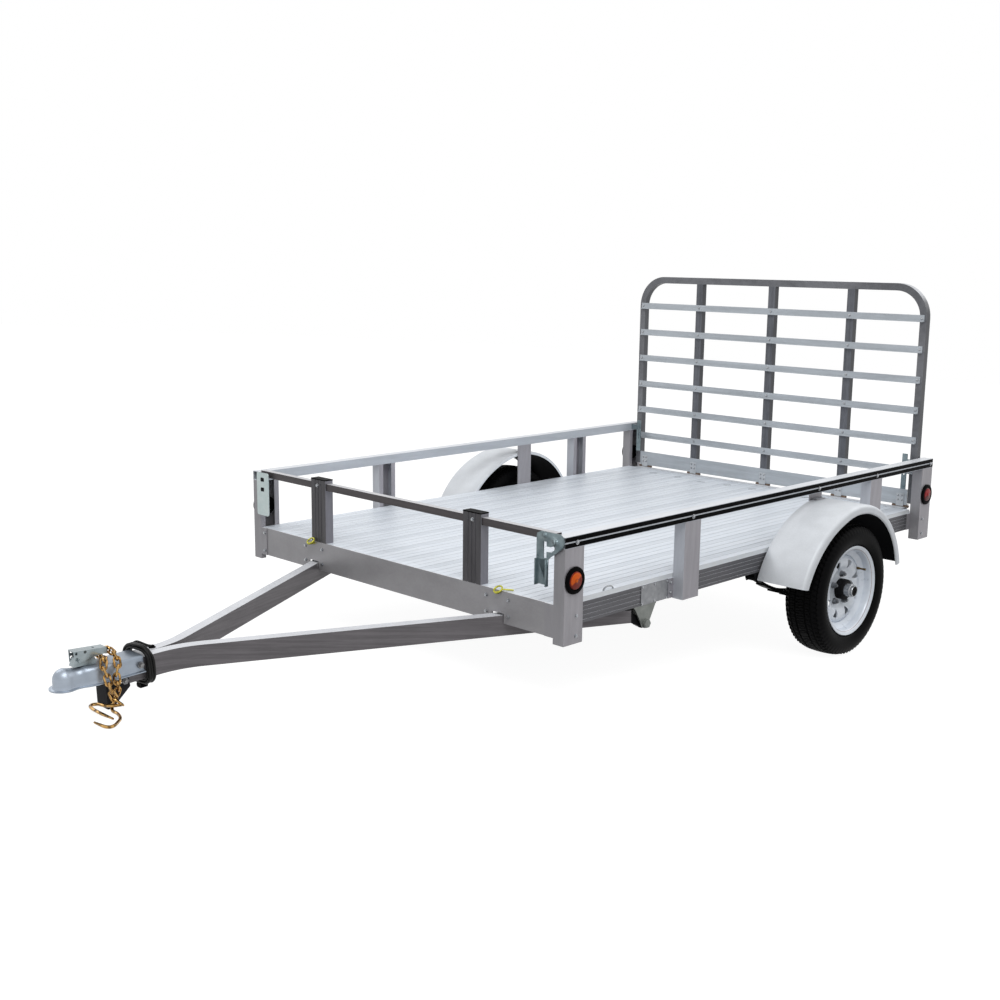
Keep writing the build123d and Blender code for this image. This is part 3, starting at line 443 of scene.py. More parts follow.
# Shapes: each is a pair of points and groups of faces. A grid of points joins its neighbours in quads.

def gridShape(grid, wrapU=False, wrapV=False, caps=False):
    rows, columns = grid.shape[:2]
    index = np.arange(rows * columns).reshape(rows, columns)
    cells = np.vstack([index, index[:1]]) if wrapU else index
    cells = np.hstack([cells, cells[:, :1]]) if wrapV else cells
    quads = np.stack([cells[:-1, :-1], cells[:-1, 1:], cells[1:, 1:], cells[1:, :-1]], -1).reshape(-1, 4)
    ends = [index[:1, ::-1], index[-1:]] if caps else []
    return grid.reshape(-1, 3), [quads, *ends]


def turnedShape(profile, centre, axis="x", steps=48, closed=True, start=0.0, stop=math.tau):
    # point = centre + along * axis + radius * (cos, sin) in the other two directions
    along, radius = np.asarray(profile, float).T
    whole = abs(stop - start - math.tau) < 1e-6
    turn = np.linspace(start, stop, steps, endpoint=not whole)
    a = np.broadcast_to(along[:, None], (len(along), steps))
    c, s = radius[:, None] * np.cos(turn), radius[:, None] * np.sin(turn)
    grid = {"x": [a, s, c], "y": [c, a, s], "z": [c, s, a]}[axis]
    grid = np.stack(grid, -1) + np.asarray(centre, float)
    if whole:
        return gridShape(grid, closed, True, not closed)
    return gridShape(grid.transpose(1, 0, 2), False, closed, True)


def tubeShape(path, radius, sides=10, closed=False, up=(0, 0, 1)):
    # a ring of points round each place of the path, square to it
    path = np.asarray(path, float)
    along = np.roll(path, -1, 0) - np.roll(path, 1, 0) if closed else np.gradient(path, axis=0)
    side = np.cross(along, up)
    side /= np.linalg.norm(side, axis=1)[:, None]
    over = np.cross(side, along)
    over /= np.linalg.norm(over, axis=1)[:, None]
    turn = np.linspace(0, math.tau, sides, endpoint=False)[None, :, None]
    size = np.broadcast_to(radius, len(path))[:, None, None]
    grid = path[:, None] + size * (np.cos(turn) * side[:, None] + np.sin(turn) * over[:, None])
    return gridShape(grid, closed, True, not closed)


def slabShape(outline, low, high, axis="x"):
    # a flat outline carried along one axis
    u, v = np.asarray(outline, float).T
    ends = np.array([[low], [high]]) + 0 * u
    u, v = u + 0 * ends, v + 0 * ends
    grid = {"x": [ends, u, v], "y": [u, ends, v], "z": [u, v, ends]}[axis]
    return gridShape(np.stack(grid, -1), False, True, True)


def boxShape(x, y, z):
    # a rectangle in y and z carried along x
    return slabShape([(y[0], z[0]), (y[1], z[0]), (y[1], z[1]), (y[0], z[1])], *x)


def ringOutline(radius, sides):
    # point = radius * (cos, sin), at even turns
    turn = np.arange(sides) * math.tau / sides
    return radius * np.stack([np.cos(turn), np.sin(turn)], -1)


def copies(shape, places):
    points, faces = shape
    return [(points + np.asarray(place, float), faces) for place in places]


def flipped(shapes):
    return [(points * (-1, 1, 1), faces) for points, faces in shapes]


def bothSides(shapes):
    return shapes + flipped(shapes)


onSide = {"left": list, "right": flipped}


def smoothPath(points, steps=8):
    # Catmull-Rom: each run is a cubic of its two ends and their neighbours
    p = np.asarray(points, float)
    p = np.vstack([2 * p[0] - p[1], p, 2 * p[-1] - p[-2]])
    t = np.linspace(0, 1, steps, endpoint=False)[None, :, None]
    a, b, c, d = (p[k:len(p) - 3 + k, None] for k in range(4))
    run = 0.5 * (2 * b + (c - a) * t + (2 * a - 5 * b + 4 * c - d) * t ** 2
                 + (3 * b - a - 3 * c + d) * t ** 3)
    return np.vstack([run.reshape(-1, p.shape[1]), p[-2]])


def setPiece(name, mesh, finish, body, crease, replaces):
    # shaded, finished and linked, riding on its body
    mesh.shade_smooth()
    mesh.set_sharp_from_angle(angle=math.radians(crease))
    mesh.materials.clear()
    mesh.materials.append(finishes[finish])
    made = addObject(name, mesh)
    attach(made, body)
    if replaces:
        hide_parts(*replaces)
    return made


def addPiece(name, shapes, finish, body, into=fromBed, crease=35, replaces=(), weld=False):
    # the shapes joined in one mesh and put in place, with outward faces
    mesh = bpy.data.meshes.new(name)
    sizes = np.cumsum([0] + [len(points) for points, _ in shapes])
    points = into(np.vstack([points for points, _ in shapes]))
    faces = [row for (_, groups), first in zip(shapes, sizes)
             for group in groups for row in (group + first).tolist()]
    mesh.from_pydata(points.tolist(), [], faces)
    tidy = bmesh.new()
    tidy.from_mesh(mesh)
    if weld:
        bmesh.ops.remove_doubles(tidy, verts=tidy.verts, dist=1e-5)
    bmesh.ops.recalc_face_normals(tidy, faces=tidy.faces)
    tidy.to_mesh(mesh)
    tidy.free()
    return setPiece(name, mesh, finish, body, crease, replaces)


# Wiring cable: out of its grommet on the right beam, then round and round the tongue into its plug

harness = {
    "radius": 4.7, "centre": (-3.0, -1023.0), "turn": 6.9, "half": 59.5, "high": 25.0, "low": -84.0,
    "topCorner": 45.0, "lowCorner": 30.0, "turns": 6, "perTurn": 16, "length": 2.57,
    "firstAngle": 101.25, "firstStep": 2, "moreSteps": 8, "stay": 0.72,  # stay: a lap's share in one lane
    # each lap's lane: how far out of the bundle's line, and how far along the tongue
    "outward": [4.4, 4.4, 4.6, -4.2, -4.4, -4.2, 4.5, 4.5],
    "aside": [9.0, -0.5, -10.0, -9.4, 0.3, 9.6, 2.0, -2.0],
    "lead": [(-20, -965, 4), (-19.5, -978, 8), (-20.5, -992, 17), (-26, -1004, 25), (-36, -1012, 28.5)],
    "tail": [(-20, -1026, -90), (-9, -1024, -97), (3, -1023, -100)],
    "boot": [(-1, 0.01), (-1, 11), (1.5, 11), (3, 8.5), (7, 7), (8, 4.8), (8, 0.01)],
}


def addHarness():
    # each turn is a rounded rectangle: corner centres plus corner radius times (cos, sin)
    k = np.arange(harness["firstStep"], harness["turns"] * harness["perTurn"] + harness["moreSteps"])
    angle = math.radians(harness["firstAngle"]) + k * math.tau / harness["perTurn"]
    lap = k / harness["perTurn"]
    stage = np.floor(lap) + np.clip((lap % 1 - harness["stay"]) / (1 - harness["stay"]), 0, 1)
    outward, aside = (np.interp(stage, np.arange(8), harness[key]) for key in ("outward", "aside"))
    loose = np.sin(k * 1.7) * 0.9 + np.sin(k * 0.61 + 1.3) * 0.8
    base = np.where(np.sin(angle) > 0, harness["topCorner"], harness["lowCorner"])
    corner = base + outward + loose
    middle, reach = (harness["high"] + harness["low"]) / 2, (harness["high"] - harness["low"]) / 2
    across = np.sign(np.cos(angle)) * (harness["half"] - base) + corner * np.cos(angle)
    height = middle + np.sign(np.sin(angle)) * (reach - base) + corner * np.sin(angle)
    spin = math.radians(harness["turn"])
    depth = aside + np.sin(k * 0.9) * 0.5
    x = harness["centre"][0] + across * math.cos(spin) - depth * math.sin(spin)
    y = harness["centre"][1] + across * math.sin(spin) + depth * math.cos(spin)
    loops = np.stack([x, y, height], -1)
    route = np.vstack([harness["lead"], loops, harness["tail"]])
    data = bpy.data.curves.new("harnessCable", "CURVE")
    data.dimensions, data.bevel_depth, data.bevel_resolution = "3D", harness["radius"] / 1000, 4
    data.resolution_u, data.use_fill_caps = 6, True
    line = data.splines.new("NURBS")
    line.points.add(len(route) - 1)
    line.points.foreach_set("co", np.hstack([fromTongue(route), np.ones((len(route), 1))]).ravel())
    line.order_u, line.use_endpoint_u = 3, True
    data.materials.append(finishes["cable"])
    made = addObject("harnessCable", data)
    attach(made, "tongue")
    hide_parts("harness_coil", "harness_lead")
    run = np.linalg.norm(np.diff(fromTongue(route), axis=0), axis=1).sum()
    print("harness control points", len(route), "about", round(float(run), 2), "m")
    sleeve = turnedShape(harness["boot"], harness["lead"][0][:2] + (0,), "z", 24, False)
    boot = addPiece("harnessBoot", [sleeve], "rubber", "tongue", fromTongue,
                    replaces=["harness_grommet"])


addHarness()
print("cable wound")

# Wheels: tyre with tread blocks, pressed disc with hand holes, hub, cap, nuts and valve

wheel = {"x": 926.0, "treadPitch": 72, "grooveDepth": 4.5, "windows": 8, "windowRing": 106.0,
         "windowSize": 21.0, "windowBlunt": 0.64, "windowSquash": 0.86, "windowCut": (4, 50),
         "studs": 5, "studRing": 60.0, "studTurn": 5.0, "nutFace": 17.2, "stem": (24, 106, 68)}
hubPlace = (wheel["x"], parking["axleY"], parking["axleZ"])


def tyreShape():
    # radius falls by the groove depth where a groove runs round, and where a sipe crosses the shoulder
    tread = [0, 16.5, 18, 23, 24.5, 41, 42.5, 48, 49.5, 52, 56, 60, 64]
    half = [(a, 264.8 - 0.0012 * a ** 2 - max(0, a - 46) ** 1.7 * 0.052) for a in tread]
    half += [(68.5, 256), (72, 250.5), (75.5, 243.5), (76.6, 241.5), (78.6, 238), (81.4, 229), (82.6, 219),
             (82.2, 210), (80.4, 201), (77, 194), (76.5, 192), (73, 187.5), (69, 184.5), (66, 182.5),
             (64.8, 180), (60.5, 172), (54, 165.1)]
    inner = [(42, 165.1), (46, 177), (56, 188), (69, 204), (72, 222), (63, 241), (49, 251), (0, 251)]
    right = half + inner[:-1]
    profile = np.array(right + [(0, 251)] + [(-a, r) for a, r in reversed(right) if a > 0])
    steps = wheel["treadPitch"] * 6
    turn = np.linspace(0, math.tau, steps, endpoint=False)
    a, r = profile[:, :1], profile[:, 1:] + 0 * turn
    outer = (r > 252) & (abs(a) < 70)
    phase = (turn * wheel["treadPitch"] / math.tau + a / 44.0) % 1
    ringed = (abs(abs(a) - 20.5) < 3) | (abs(abs(a) - 45.2) < 3.4)
    sipe = (phase < 0.3) & (abs(a) > 49) | (phase < 0.14) & (abs(a) < 42)
    r = r - outer * (ringed | sipe) * wheel["grooveDepth"]
    r = r + (abs(r - 241) < 12) * (abs(a) > 70) * (r > 236) * np.sin(turn * wheel["treadPitch"]) * 0.8
    grid = np.stack([a + 0 * r, r * np.sin(turn), r * np.cos(turn)], -1) + np.array(hubPlace)
    return gridShape(grid, True, True)


def rimShapes():
    # the barrel's and the pressed disc's sections, as (along, radius) from the wheel's middle, turned round
    barrel = [(72, 178.5), (71, 180), (68, 180), (66, 178), (64.5, 173), (62, 168), (57, 165), (30, 165),
              (24, 160), (18, 142), (-30, 142), (-36, 154), (-42, 165), (-56, 165), (-63, 173), (-67, 180),
              (-72, 180), (-72, 176), (-68, 169), (-60, 161), (-46, 161), (-34, 138), (22, 138), (28, 152),
              (34, 160), (58, 161), (64, 164), (68, 169), (70.5, 175)]
    disc = [(12, 34), (12, 72), (14, 78), (18, 84), (22, 90), (25.5, 97), (26.5, 104), (26, 112),
            (24.5, 120), (22, 127), (18, 132), (12, 137), (8, 140), (14, 140.5), (18, 138), (24, 133),
            (28, 128), (30, 120), (31, 112), (31.5, 104), (30.5, 97), (27.5, 90), (23.5, 83.5), (19.5, 77),
            (17, 70), (17, 34)]
    return (turnedShape(barrel, hubPlace, steps=144), turnedShape(disc, hubPlace, steps=144))


def windowCutter():
    # rounded triangles with their points outward, one in each eighth
    turn = np.linspace(0, math.tau, 18, endpoint=False)
    third, blunt = math.tau / 3, wheel["windowBlunt"]
    size = wheel["windowSize"] * blunt / np.maximum(blunt, np.cos((turn + third / 2) % third - third / 2))
    cutters = []
    for k in range(wheel["windows"]):
        angle = (k + 0.5) * math.tau / wheel["windows"]
        u, v = size * wheel["windowSquash"] * np.sin(turn), size * np.cos(turn) + wheel["windowRing"]
        y, z = u * math.cos(angle) + v * math.sin(angle), v * math.cos(angle) - u * math.sin(angle)
        outline = np.stack([y, z], -1) + hubPlace[1:]
        cutters.append(slabShape(outline, *(wheel["x"] + depth for depth in wheel["windowCut"])))
    return cutters


def studPlaces(along):
    turn = math.radians(wheel["studTurn"]) + np.arange(wheel["studs"]) * math.tau / wheel["studs"]
    ring = wheel["studRing"]
    return np.stack([0 * turn + along, ring * np.sin(turn), ring * np.cos(turn)], -1) + np.array(hubPlace)


def cutThrough(piece, cutters):
    # the cutters' difference, made part of the mesh
    tool = addPiece(piece.name + "Cutter", cutters, "rim", "bed")
    modifier = piece.modifiers.new("windows", "BOOLEAN")
    modifier.operation, modifier.solver, modifier.object = "DIFFERENCE", "EXACT", tool
    bpy.context.view_layer.update()
    solid = piece.evaluated_get(bpy.context.evaluated_depsgraph_get())
    cut = bpy.data.meshes.new_from_object(solid)
    piece.modifiers.clear()
    old, piece.data = piece.data, cut
    bpy.data.meshes.remove(old)
    bpy.data.objects.remove(tool)
    cut.shade_smooth()
    cut.set_sharp_from_angle(angle=math.radians(38))


def addWheel(side):
    turn, body, title = onSide[side], "wheel_" + side, side.capitalize()
    addPiece("tyre" + title, turn([tyreShape()]), "tyre", body, crease=30,
             replaces=["tyre_" + side])
    barrel, disc = rimShapes()
    addPiece("rimBarrel" + title, turn([barrel]), "rim", body, replaces=["rim_" + side])
    face = addPiece("rimDisc" + title, turn([disc]), "rim", body)
    cutThrough(face, turn(windowCutter()))
    flange = [(17.5, 33), (17.5, 41), (44, 41), (47.5, 39.5), (49, 36), (49, 27), (17.5, 27)]
    back = [(-60, 17), (-60, 36), (-57, 38), (0, 38), (2, 46), (2, 70), (11.5, 70), (11.5, 27), (40, 27),
            (40, 17)]
    addPiece("hubBody" + title, turn([turnedShape(flange, hubPlace, steps=64)]), "black", body,
             replaces=["hub_" + side])
    cap = [(46, 24), (50, 26.5), (52, 26), (72, 26), (74, 24.5), (74.5, 22.8), (82, 22.6), (84, 21.4),
           (84, 19.6), (81, 19), (81, 0.01), (46, 0.01)]
    plug = [(80.6, 0.01), (80.6, 19), (82.4, 18.4), (83, 9), (82, 7.5), (82, 0.01)]
    covers = [turnedShape(cap, hubPlace, steps=64, closed=False), turnedShape(back, hubPlace, steps=64)]
    addPiece("hubCap" + title, turn(covers), "bolt", body)
    addPiece("hubPlug" + title, turn([turnedShape(plug, hubPlace, steps=48, closed=False)]), "rubber", body)
    hexagon = slabShape(ringOutline(11.6, 6), 0, 14)
    cone = turnedShape([(0, 12.6), (3, 12.6), (5, 9.5), (5, 4), (0, 4)], (0, 0, 0), steps=24)
    stud = turnedShape([(-6, 0.01), (-6, 5.6), (21, 5.6), (22.6, 4.4), (22.6, 0.01)], (0, 0, 0), steps=16,
                       closed=False)
    nuts = [shape for part in (hexagon, cone, stud) for shape in copies(part, studPlaces(wheel["nutFace"]))]
    addPiece("wheelNuts" + title, turn(nuts), "nut", body)
    valve = [(0, 0.01), (0, 5.4), (16, 5.0), (18, 3.6), (32, 3.6), (33, 4.6), (43, 4.6), (44, 0.01)]
    stem = turnedShape(valve, np.add(hubPlace, wheel["stem"]), steps=16, closed=False)
    addPiece("valveStem" + title, turn([stem]), "brass", body)


addWheel("left")
addWheel("right")
print("wheels fitted")

# Fenders: rolled sheet with a round outer edge and a hemmed lip, dark inside

fender = {"inner": 812.0, "outer": 1022.0, "radius": 347.0, "end": 66.0, "steps": 96, "roll": 16.0,
          "sheet": 2.6, "crown": 70.0, "flare": 55.0, "flareFrom": 20.0}


def addFender(side):
    # section in (x, radius), carried round the axle between its two ends; the front end flares outward
    r, x0, x1, sheet = (fender[key] for key in ("radius", "inner", "outer", "sheet"))
    roll, crown = fender["roll"], x0 + fender["crown"]
    bend = np.radians(np.linspace(90, 0, 9))
    edge = [(x1 - roll + roll * math.cos(b), r - roll + roll * math.sin(b)) for b in bend]
    hem = [(x1, r - 24), (x1 + 0.8, r - 29), (x1 - 0.4, r - 33.5), (x1 - 4, r - 35.6), (x1 - 7.4, r - 33.5),
           (x1 - 7.6, r - 29), (x1 - 4.6, r - 26), (x1 - 2.6, r - 22)]
    tight = roll - sheet
    inside = [(x1 - roll + tight * math.cos(b), r - roll + tight * math.sin(b)) for b in bend[::-1]]
    outside = [(x0, r - 14), (x0, r - 3), (x0 + 3, r), (crown, r)] + edge
    section = outside + hem + inside + [(crown, r - sheet), (x0 + 4, r - sheet), (x0 + sheet, r - 14)]
    end = math.radians(90) - math.asin(fender["end"] / r)
    points, faces = turnedShape(section, (0, 0, 0), steps=fender["steps"], start=-end, stop=end)
    turn = np.arctan2(points[:, 1], points[:, 2])
    begin = math.radians(fender["flareFrom"])
    grow = fender["flare"] * (np.clip(-turn - begin, 0, None) / (end - begin)) ** 1.5
    points[:, 1:] *= 1 + (grow / np.linalg.norm(points[:, 1:], axis=1))[:, None]
    shape = (points + (0, *hubPlace[1:]), faces)
    made = addPiece("fender" + side.capitalize(), onSide[side]([shape]), "fender", "bed",
                    crease=50, replaces=["fender_" + side])
    made.data.materials.append(finishes["fenderUnder"])
    column = np.arange(len(section) * (fender["steps"] - 1)) % len(section)
    under = (column >= len(outside) + 5).astype(np.int32)  # the dark inside starts where the hem has turned in
    made.data.polygons.foreach_set("material_index", np.concatenate([under, np.zeros(2, np.int32)]))


addFender("left")
addFender("right")
print("fenders rolled")

# Lamps: rubber grommet and moulded lens on each corner post

lampFace = 854.0


def addLamps():
    grommet = [(0, 41), (0.5, 44), (3, 45.6), (6.5, 44.5), (9, 40), (10, 35), (9.5, 31.5), (6, 30.2),
               (0.2, 30)]
    lens = [(0.4, 30), (7.4, 29.9), (9.6, 28.6), (10.8, 26), (11.6, 18), (12.2, 9), (13.4, 6.5), (14, 0.01)]
    rings = [turnedShape(grommet, (lampFace, y, z), steps=64) for y, z in lampPlaces.values()]
    addPiece("lampGrommets", bothSides(rings), "rubber", "bed", replaces=["lamp_grommets"])
    for name, node, slot, spot in (("amber", "marker_lamps", "amber_lens", "front"),
                                   ("red", "tail_lamps", "red_lens", "rear")):
        y, z = lampPlaces[spot]
        dome = turnedShape(lens, (lampFace, y, z), steps=64, closed=False)
        addPiece(name + "Lenses", bothSides([dome]), name, "bed", replaces=[node])


addLamps()

# Fasteners: hexagon heads on washers, round heads, rivets

fasteners = {
    # on both sides: face x, places (y, z), and the heads' radius and height
    "side": [(854.6, [(54, 205), (666, 205), (1492, 205), (1947, 205), (2416, 205)], 6.0, 5.0),
             (854.0, [(58, -39), (57, -106), (2378, -40), (2379, -106)], 5.4, 4.5),
             (811.0, [(606, -30), (606, -66), (1885, -30), (1885, -66)], 5.4, 4.5),
             (810.0, [(450, -22), (518, -22), (585, -22), (450, -82), (518, -82), (585, -82)], 3.6, 2.4)],
    # on the front: places x, face y and heights z, of the beams', one post's and the stakes' bolts
    "frontHead": (5.4, 4.5),
    "front": [((498, 603, -512, -407), 0, (-27, -84)), ((-782,), -3, (-20, -93)), ((430, -430), 0.4, (222,))],
    # on the gate: the same with radius and height, of the slats' and the bottom plate's rivets
    "gate": [((-778, -424, 0, 424, 778), 2389, (844, 708, 574, 439, 304, 168), 4.6, 3.0),
             ((-744, -726, -429, -411, -9, 9, 411, 429, 726, 744), 2386.5, (30, 50), 3.6, 2.2)],
}
washer = {"sunk": -0.4, "round": 1.2, "hexagon": 1.6}


def roundHead(axis, sign, radius, height):
    # a washer, then a low dome above it, turned round the axis
    wide, thick = radius * 1.35, washer["round"]
    profile = [(washer["sunk"], 0.01), (washer["sunk"], wide), (thick, wide), (thick, radius),
               (thick + height * 0.55, radius * 0.9), (thick + height * 0.9, radius * 0.55),
               (thick + height, 0.01)]
    return turnedShape([(a * sign, r) for a, r in profile], (0, 0, 0), axis, 20, False)


def hexHead(axis, sign, radius, height):
    # a round washer and a six-sided head, each carried along the axis
    sunk, thick = washer["sunk"], washer["hexagon"]
    return [slabShape(ringOutline(radius * 1.3, 20), *sorted((sunk * sign, thick * sign)), axis),
            slabShape(ringOutline(radius, 6), *sorted((thick * sign, (thick + height) * sign)), axis)]


def gridPlaces(across, face, heights):
    return [(x, face, z) for x in across for z in heights]


def addFasteners():
    shapes = []
    for face, places, radius, height in fasteners["side"]:
        shapes += copies(roundHead("x", 1, radius, height), [(face, y, z) for y, z in places])
    addPiece("sideFasteners", bothSides(shapes), "bolt", "bed")
    shapes = []
    for part in hexHead("y", -1, *fasteners["frontHead"]):
        for row in fasteners["front"]:
            shapes += copies(part, gridPlaces(*row))
    addPiece("frontBolts", shapes, "bolt", "bed")
    shapes = []
    for across, face, heights, radius, height in fasteners["gate"]:
        shapes += copies(roundHead("y", -1, radius, height), gridPlaces(across, face, heights))
    addPiece("gateRivets", shapes, "bolt", "gate")


addFasteners()
print("lamps and fasteners set")

# Trim on the bed: black stripes on the side rails, blank plate, tie-down bails, slots at the deck's rear

trim = {
    "stripes": ((190.6, 205.4), (210.4, 225.4)), "stripeDepth": (852.9, 854.6), "stripeRun": (-2.9, 2437.9),
    "plate": ((808.1, 810.0), (444, 590), (-87, -17)),
    "bail": (801, 276.0, -3), "bailHalf": 25.0, "bailRise": 15.0, "bailWire": 3.0,
    "slot": [(-17, -9), (-12, -12), (17, 9), (12, 12)], "slotDepth": (-1, 0.4),
    "slotPlaces": [(-573, 2255), (-412, 2255), (-246, 2223), (-109, 2250), (37, 2250), (184, 2250),
                   (330, 2250), (478, 2250)],
}
plates = {
    "caps": (426, -426), "capHalf": 44.5, "capDepth": (-0.5, 37), "capRise": (244, 248),
    "farLatch": ((-817, -738), (54, 228), 9), "farLatchDepth": (-12, -9),
    "slotRun": (-790, -768), "slotRises": (200, 160), "slotHalf": 8, "slotCorner": 4,
    "slotDepth": (-12.6, -11.8), "lampBack": [(822, 0.01), (822, 36), (848, 38), (848, 0.01)],
}


def roundedOutline(x, z, radius, steps=5):
    # four corner centres, each with a quarter of radius * (cos, sin)
    turn = np.arange(4)[:, None] * math.pi / 2 + np.linspace(0, math.pi / 2, steps)
    u = np.where(np.cos(turn.mean(1)) > 0, x[1] - radius, x[0] + radius)[:, None] + radius * np.cos(turn)
    v = np.where(np.sin(turn.mean(1)) > 0, z[1] - radius, z[0] + radius)[:, None] + radius * np.sin(turn)
    return np.stack([u.ravel(), v.ravel()], -1)


def addHalf(name, node, side, finish):
    # the node's own mesh on one side of the middle
    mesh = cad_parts[node].data.copy()
    mesh.name = name
    half = bmesh.new()
    half.from_mesh(mesh)
    whole = half.verts[:] + half.edges[:] + half.faces[:]
    bmesh.ops.bisect_plane(half, geom=whole, plane_co=(0, 0, 0), plane_no=(side, 0, 0), clear_inner=True)
    bmesh.ops.remove_doubles(half, verts=half.verts, dist=2e-6)
    bmesh.ops.recalc_face_normals(half, faces=half.faces)
    half.to_mesh(mesh)
    half.free()
    setPiece(name, mesh, finish, "bed", 30, [node])


def addPlates():
    half, tall = plates["capHalf"], plates["slotHalf"]
    caps = [boxShape((x - half, x + half), plates["capDepth"], plates["capRise"]) for x in plates["caps"]]
    addPiece("stakeCaps", caps, "rubber", "bed", replaces=["stake_caps"])
    farLatch = slabShape(roundedOutline(*plates["farLatch"]), *plates["farLatchDepth"], "y")
    addPiece("farLatchPlate", [farLatch], "palePlate", "bed")
    addHalf("nearLatch", "front_latches", 1, "latch")
    # painted shade: black slabs stand for the dark inside the slots of the far latch plate
    slots = [slabShape(roundedOutline(plates["slotRun"], (z - tall, z + tall), plates["slotCorner"]),
                       *plates["slotDepth"], "y") for z in plates["slotRises"]]
    addPiece("farLatchSlots", slots, "black", "bed")
    # black lamp backs inside the post channels: real lamp bodies that also stand in for the painted shade
    # inside the channel
    backs = [turnedShape(plates["lampBack"], (0, *place), steps=36, closed=False)
             for place in lampPlaces.values()]
    addPiece("lampBacks", bothSides(backs), "rubber", "bed")


def addTrim():
    strips = [boxShape(trim["stripeDepth"], trim["stripeRun"], span) for span in trim["stripes"]]
    addPiece("railStripes", bothSides(strips), "gloss", "bed")
    addPiece("blankPlate", [boxShape(*trim["plate"])], "plate", "bed")
    x, y, z = trim["bail"]
    turn = np.linspace(0, math.pi, 13)
    along, rise = y + trim["bailHalf"] * np.cos(turn), z + trim["bailRise"] * np.sin(turn) ** 0.7
    bail = tubeShape(np.stack([0 * turn + x, along, rise], -1), trim["bailWire"], 8, up=(1, 0, 0))
    addPiece("tieBails", bothSides([bail]), "bolt", "bed")
    # painted shade: black slabs stand for the dark inside the slots in the deck
    slots = [slabShape(np.add(trim["slot"], place), *trim["slotDepth"], "z") for place in trim["slotPlaces"]]
    addPiece("deckSlots", slots, "black", "bed")


addTrim()
addPlates()
print("trim and plates set")

# Coupler: a pressed shell, a half dome over the ball and then a channel whose waist widens to the tongue

coupler = {
    "ball": -1272.0, "low": -41.0, "lip": 12.0, "wall": 4.0, "rays": 24, "arc": 10,
    # place along the tongue, half width, top, corner radius
    "stations": [(-1272, 35, 18, 34.9), (-1255, 31, 14, 30.9), (-1243, 31, 11, 29), (-1230, 34, 10, 26),
                 (-1215, 40, 12, 22), (-1195, 44, 10, 14), (-1172, 45, 7, 9), (-1034, 45, 7, 9)],
}


def couplerSection(half, top, corner, lessen=0.0):
    # from the middle of the top, round the shoulder, down the side and out along the flange
    turn = np.linspace(math.pi / 2, 0, coupler["arc"])
    bend = corner - lessen
    shoulder = np.stack([half - corner + bend * np.cos(turn), top - corner + bend * np.sin(turn)], -1)
    low = coupler["low"] - lessen * 0.75
    foot = [(half - lessen, low + 11), (half + 0.3 - lessen, low + 5), (half + 2 - lessen, low + 1),
            (half + 6, low), (half + coupler["lip"], low)]
    return np.vstack([[(0, top - lessen)], shoulder, foot])


def couplerShape():
    # half the shell from the tongue to the dome, the dome itself, then the other half; outer and inner skins
    table = np.array(coupler["stations"])
    places = np.vstack([smoothPath(table[:-1], 5), table[-1]])
    turn = np.linspace(0, math.pi, coupler["rays"] + 1)[1:-1, None]
    skins = []
    for lessen in (0.0, coupler["wall"]):
        rows = np.array([couplerSection(half, top, corner, lessen) for _, half, top, corner in places])
        across, height = rows[..., 0], rows[..., 1]
        straight = np.stack([across, 0 * across + places[:, :1], height], -1)
        dome = np.stack([across[0] * np.cos(turn), coupler["ball"] - across[0] * np.sin(turn),
                         height[0] + 0 * turn], -1)
        skins.append(np.vstack([straight[::-1], dome, straight * (-1, 1, 1)]))
    return gridShape(np.concatenate([skins[0], skins[1][:, ::-1]], 1), False, False, True)


addPiece("couplerShell", [couplerShape()], "zinc", "tongue", fromTongue, 50, ["coupler"], True)
print("coupler pressed")

# Safety chains: round-wire links, each turned a quarter from the last, and their open hooks

chains = {
    "pitch": 26.0, "width": 25.0, "wire": 3.6, "slack": 1.5, "hookWire": 5.2,
    "front": [(-66, -1152, -58), (-67, -1152, -20), (-60, -1152, 8), (-42, -1151, 23), (0, -1150, 21),
              (32, -1155, 24), (54, -1170, 27), (62, -1176, 8), (64, -1170, -14), (71, -1168, -38),
              (71, -1163, -64), (70, -1157, -87), (76, -1147, -106), (80, -1136, -114)],
    "rear": [(-66, -1112, -58), (-67, -1116, -20), (-60, -1121, 6), (-44, -1123, 22), (-14, -1121, 36),
             (6, -1120, 38), (24, -1120, 30), (44, -1122, 22), (59, -1126, 4), (61, -1135, -12),
             (70, -1140, -32), (66, -1137, -58), (50, -1131, -84), (48, -1142, -102), (50, -1150, -116)],
    "frontHook": [(80, -1137, -115), (66, -1158, -116), (36, -1172, -119), (2, -1175, -123),
                  (-8, -1190, -124), (14, -1203, -123), (80, -1208, -121), (148, -1203, -122)],
    "rearHook": [(50, -1151, -117), (66, -1161, -130), (102, -1163, -131), (140, -1176, -130),
                 (170, -1200, -127), (200, -1232, -122), (190, -1250, -121), (134, -1256, -121)],
}


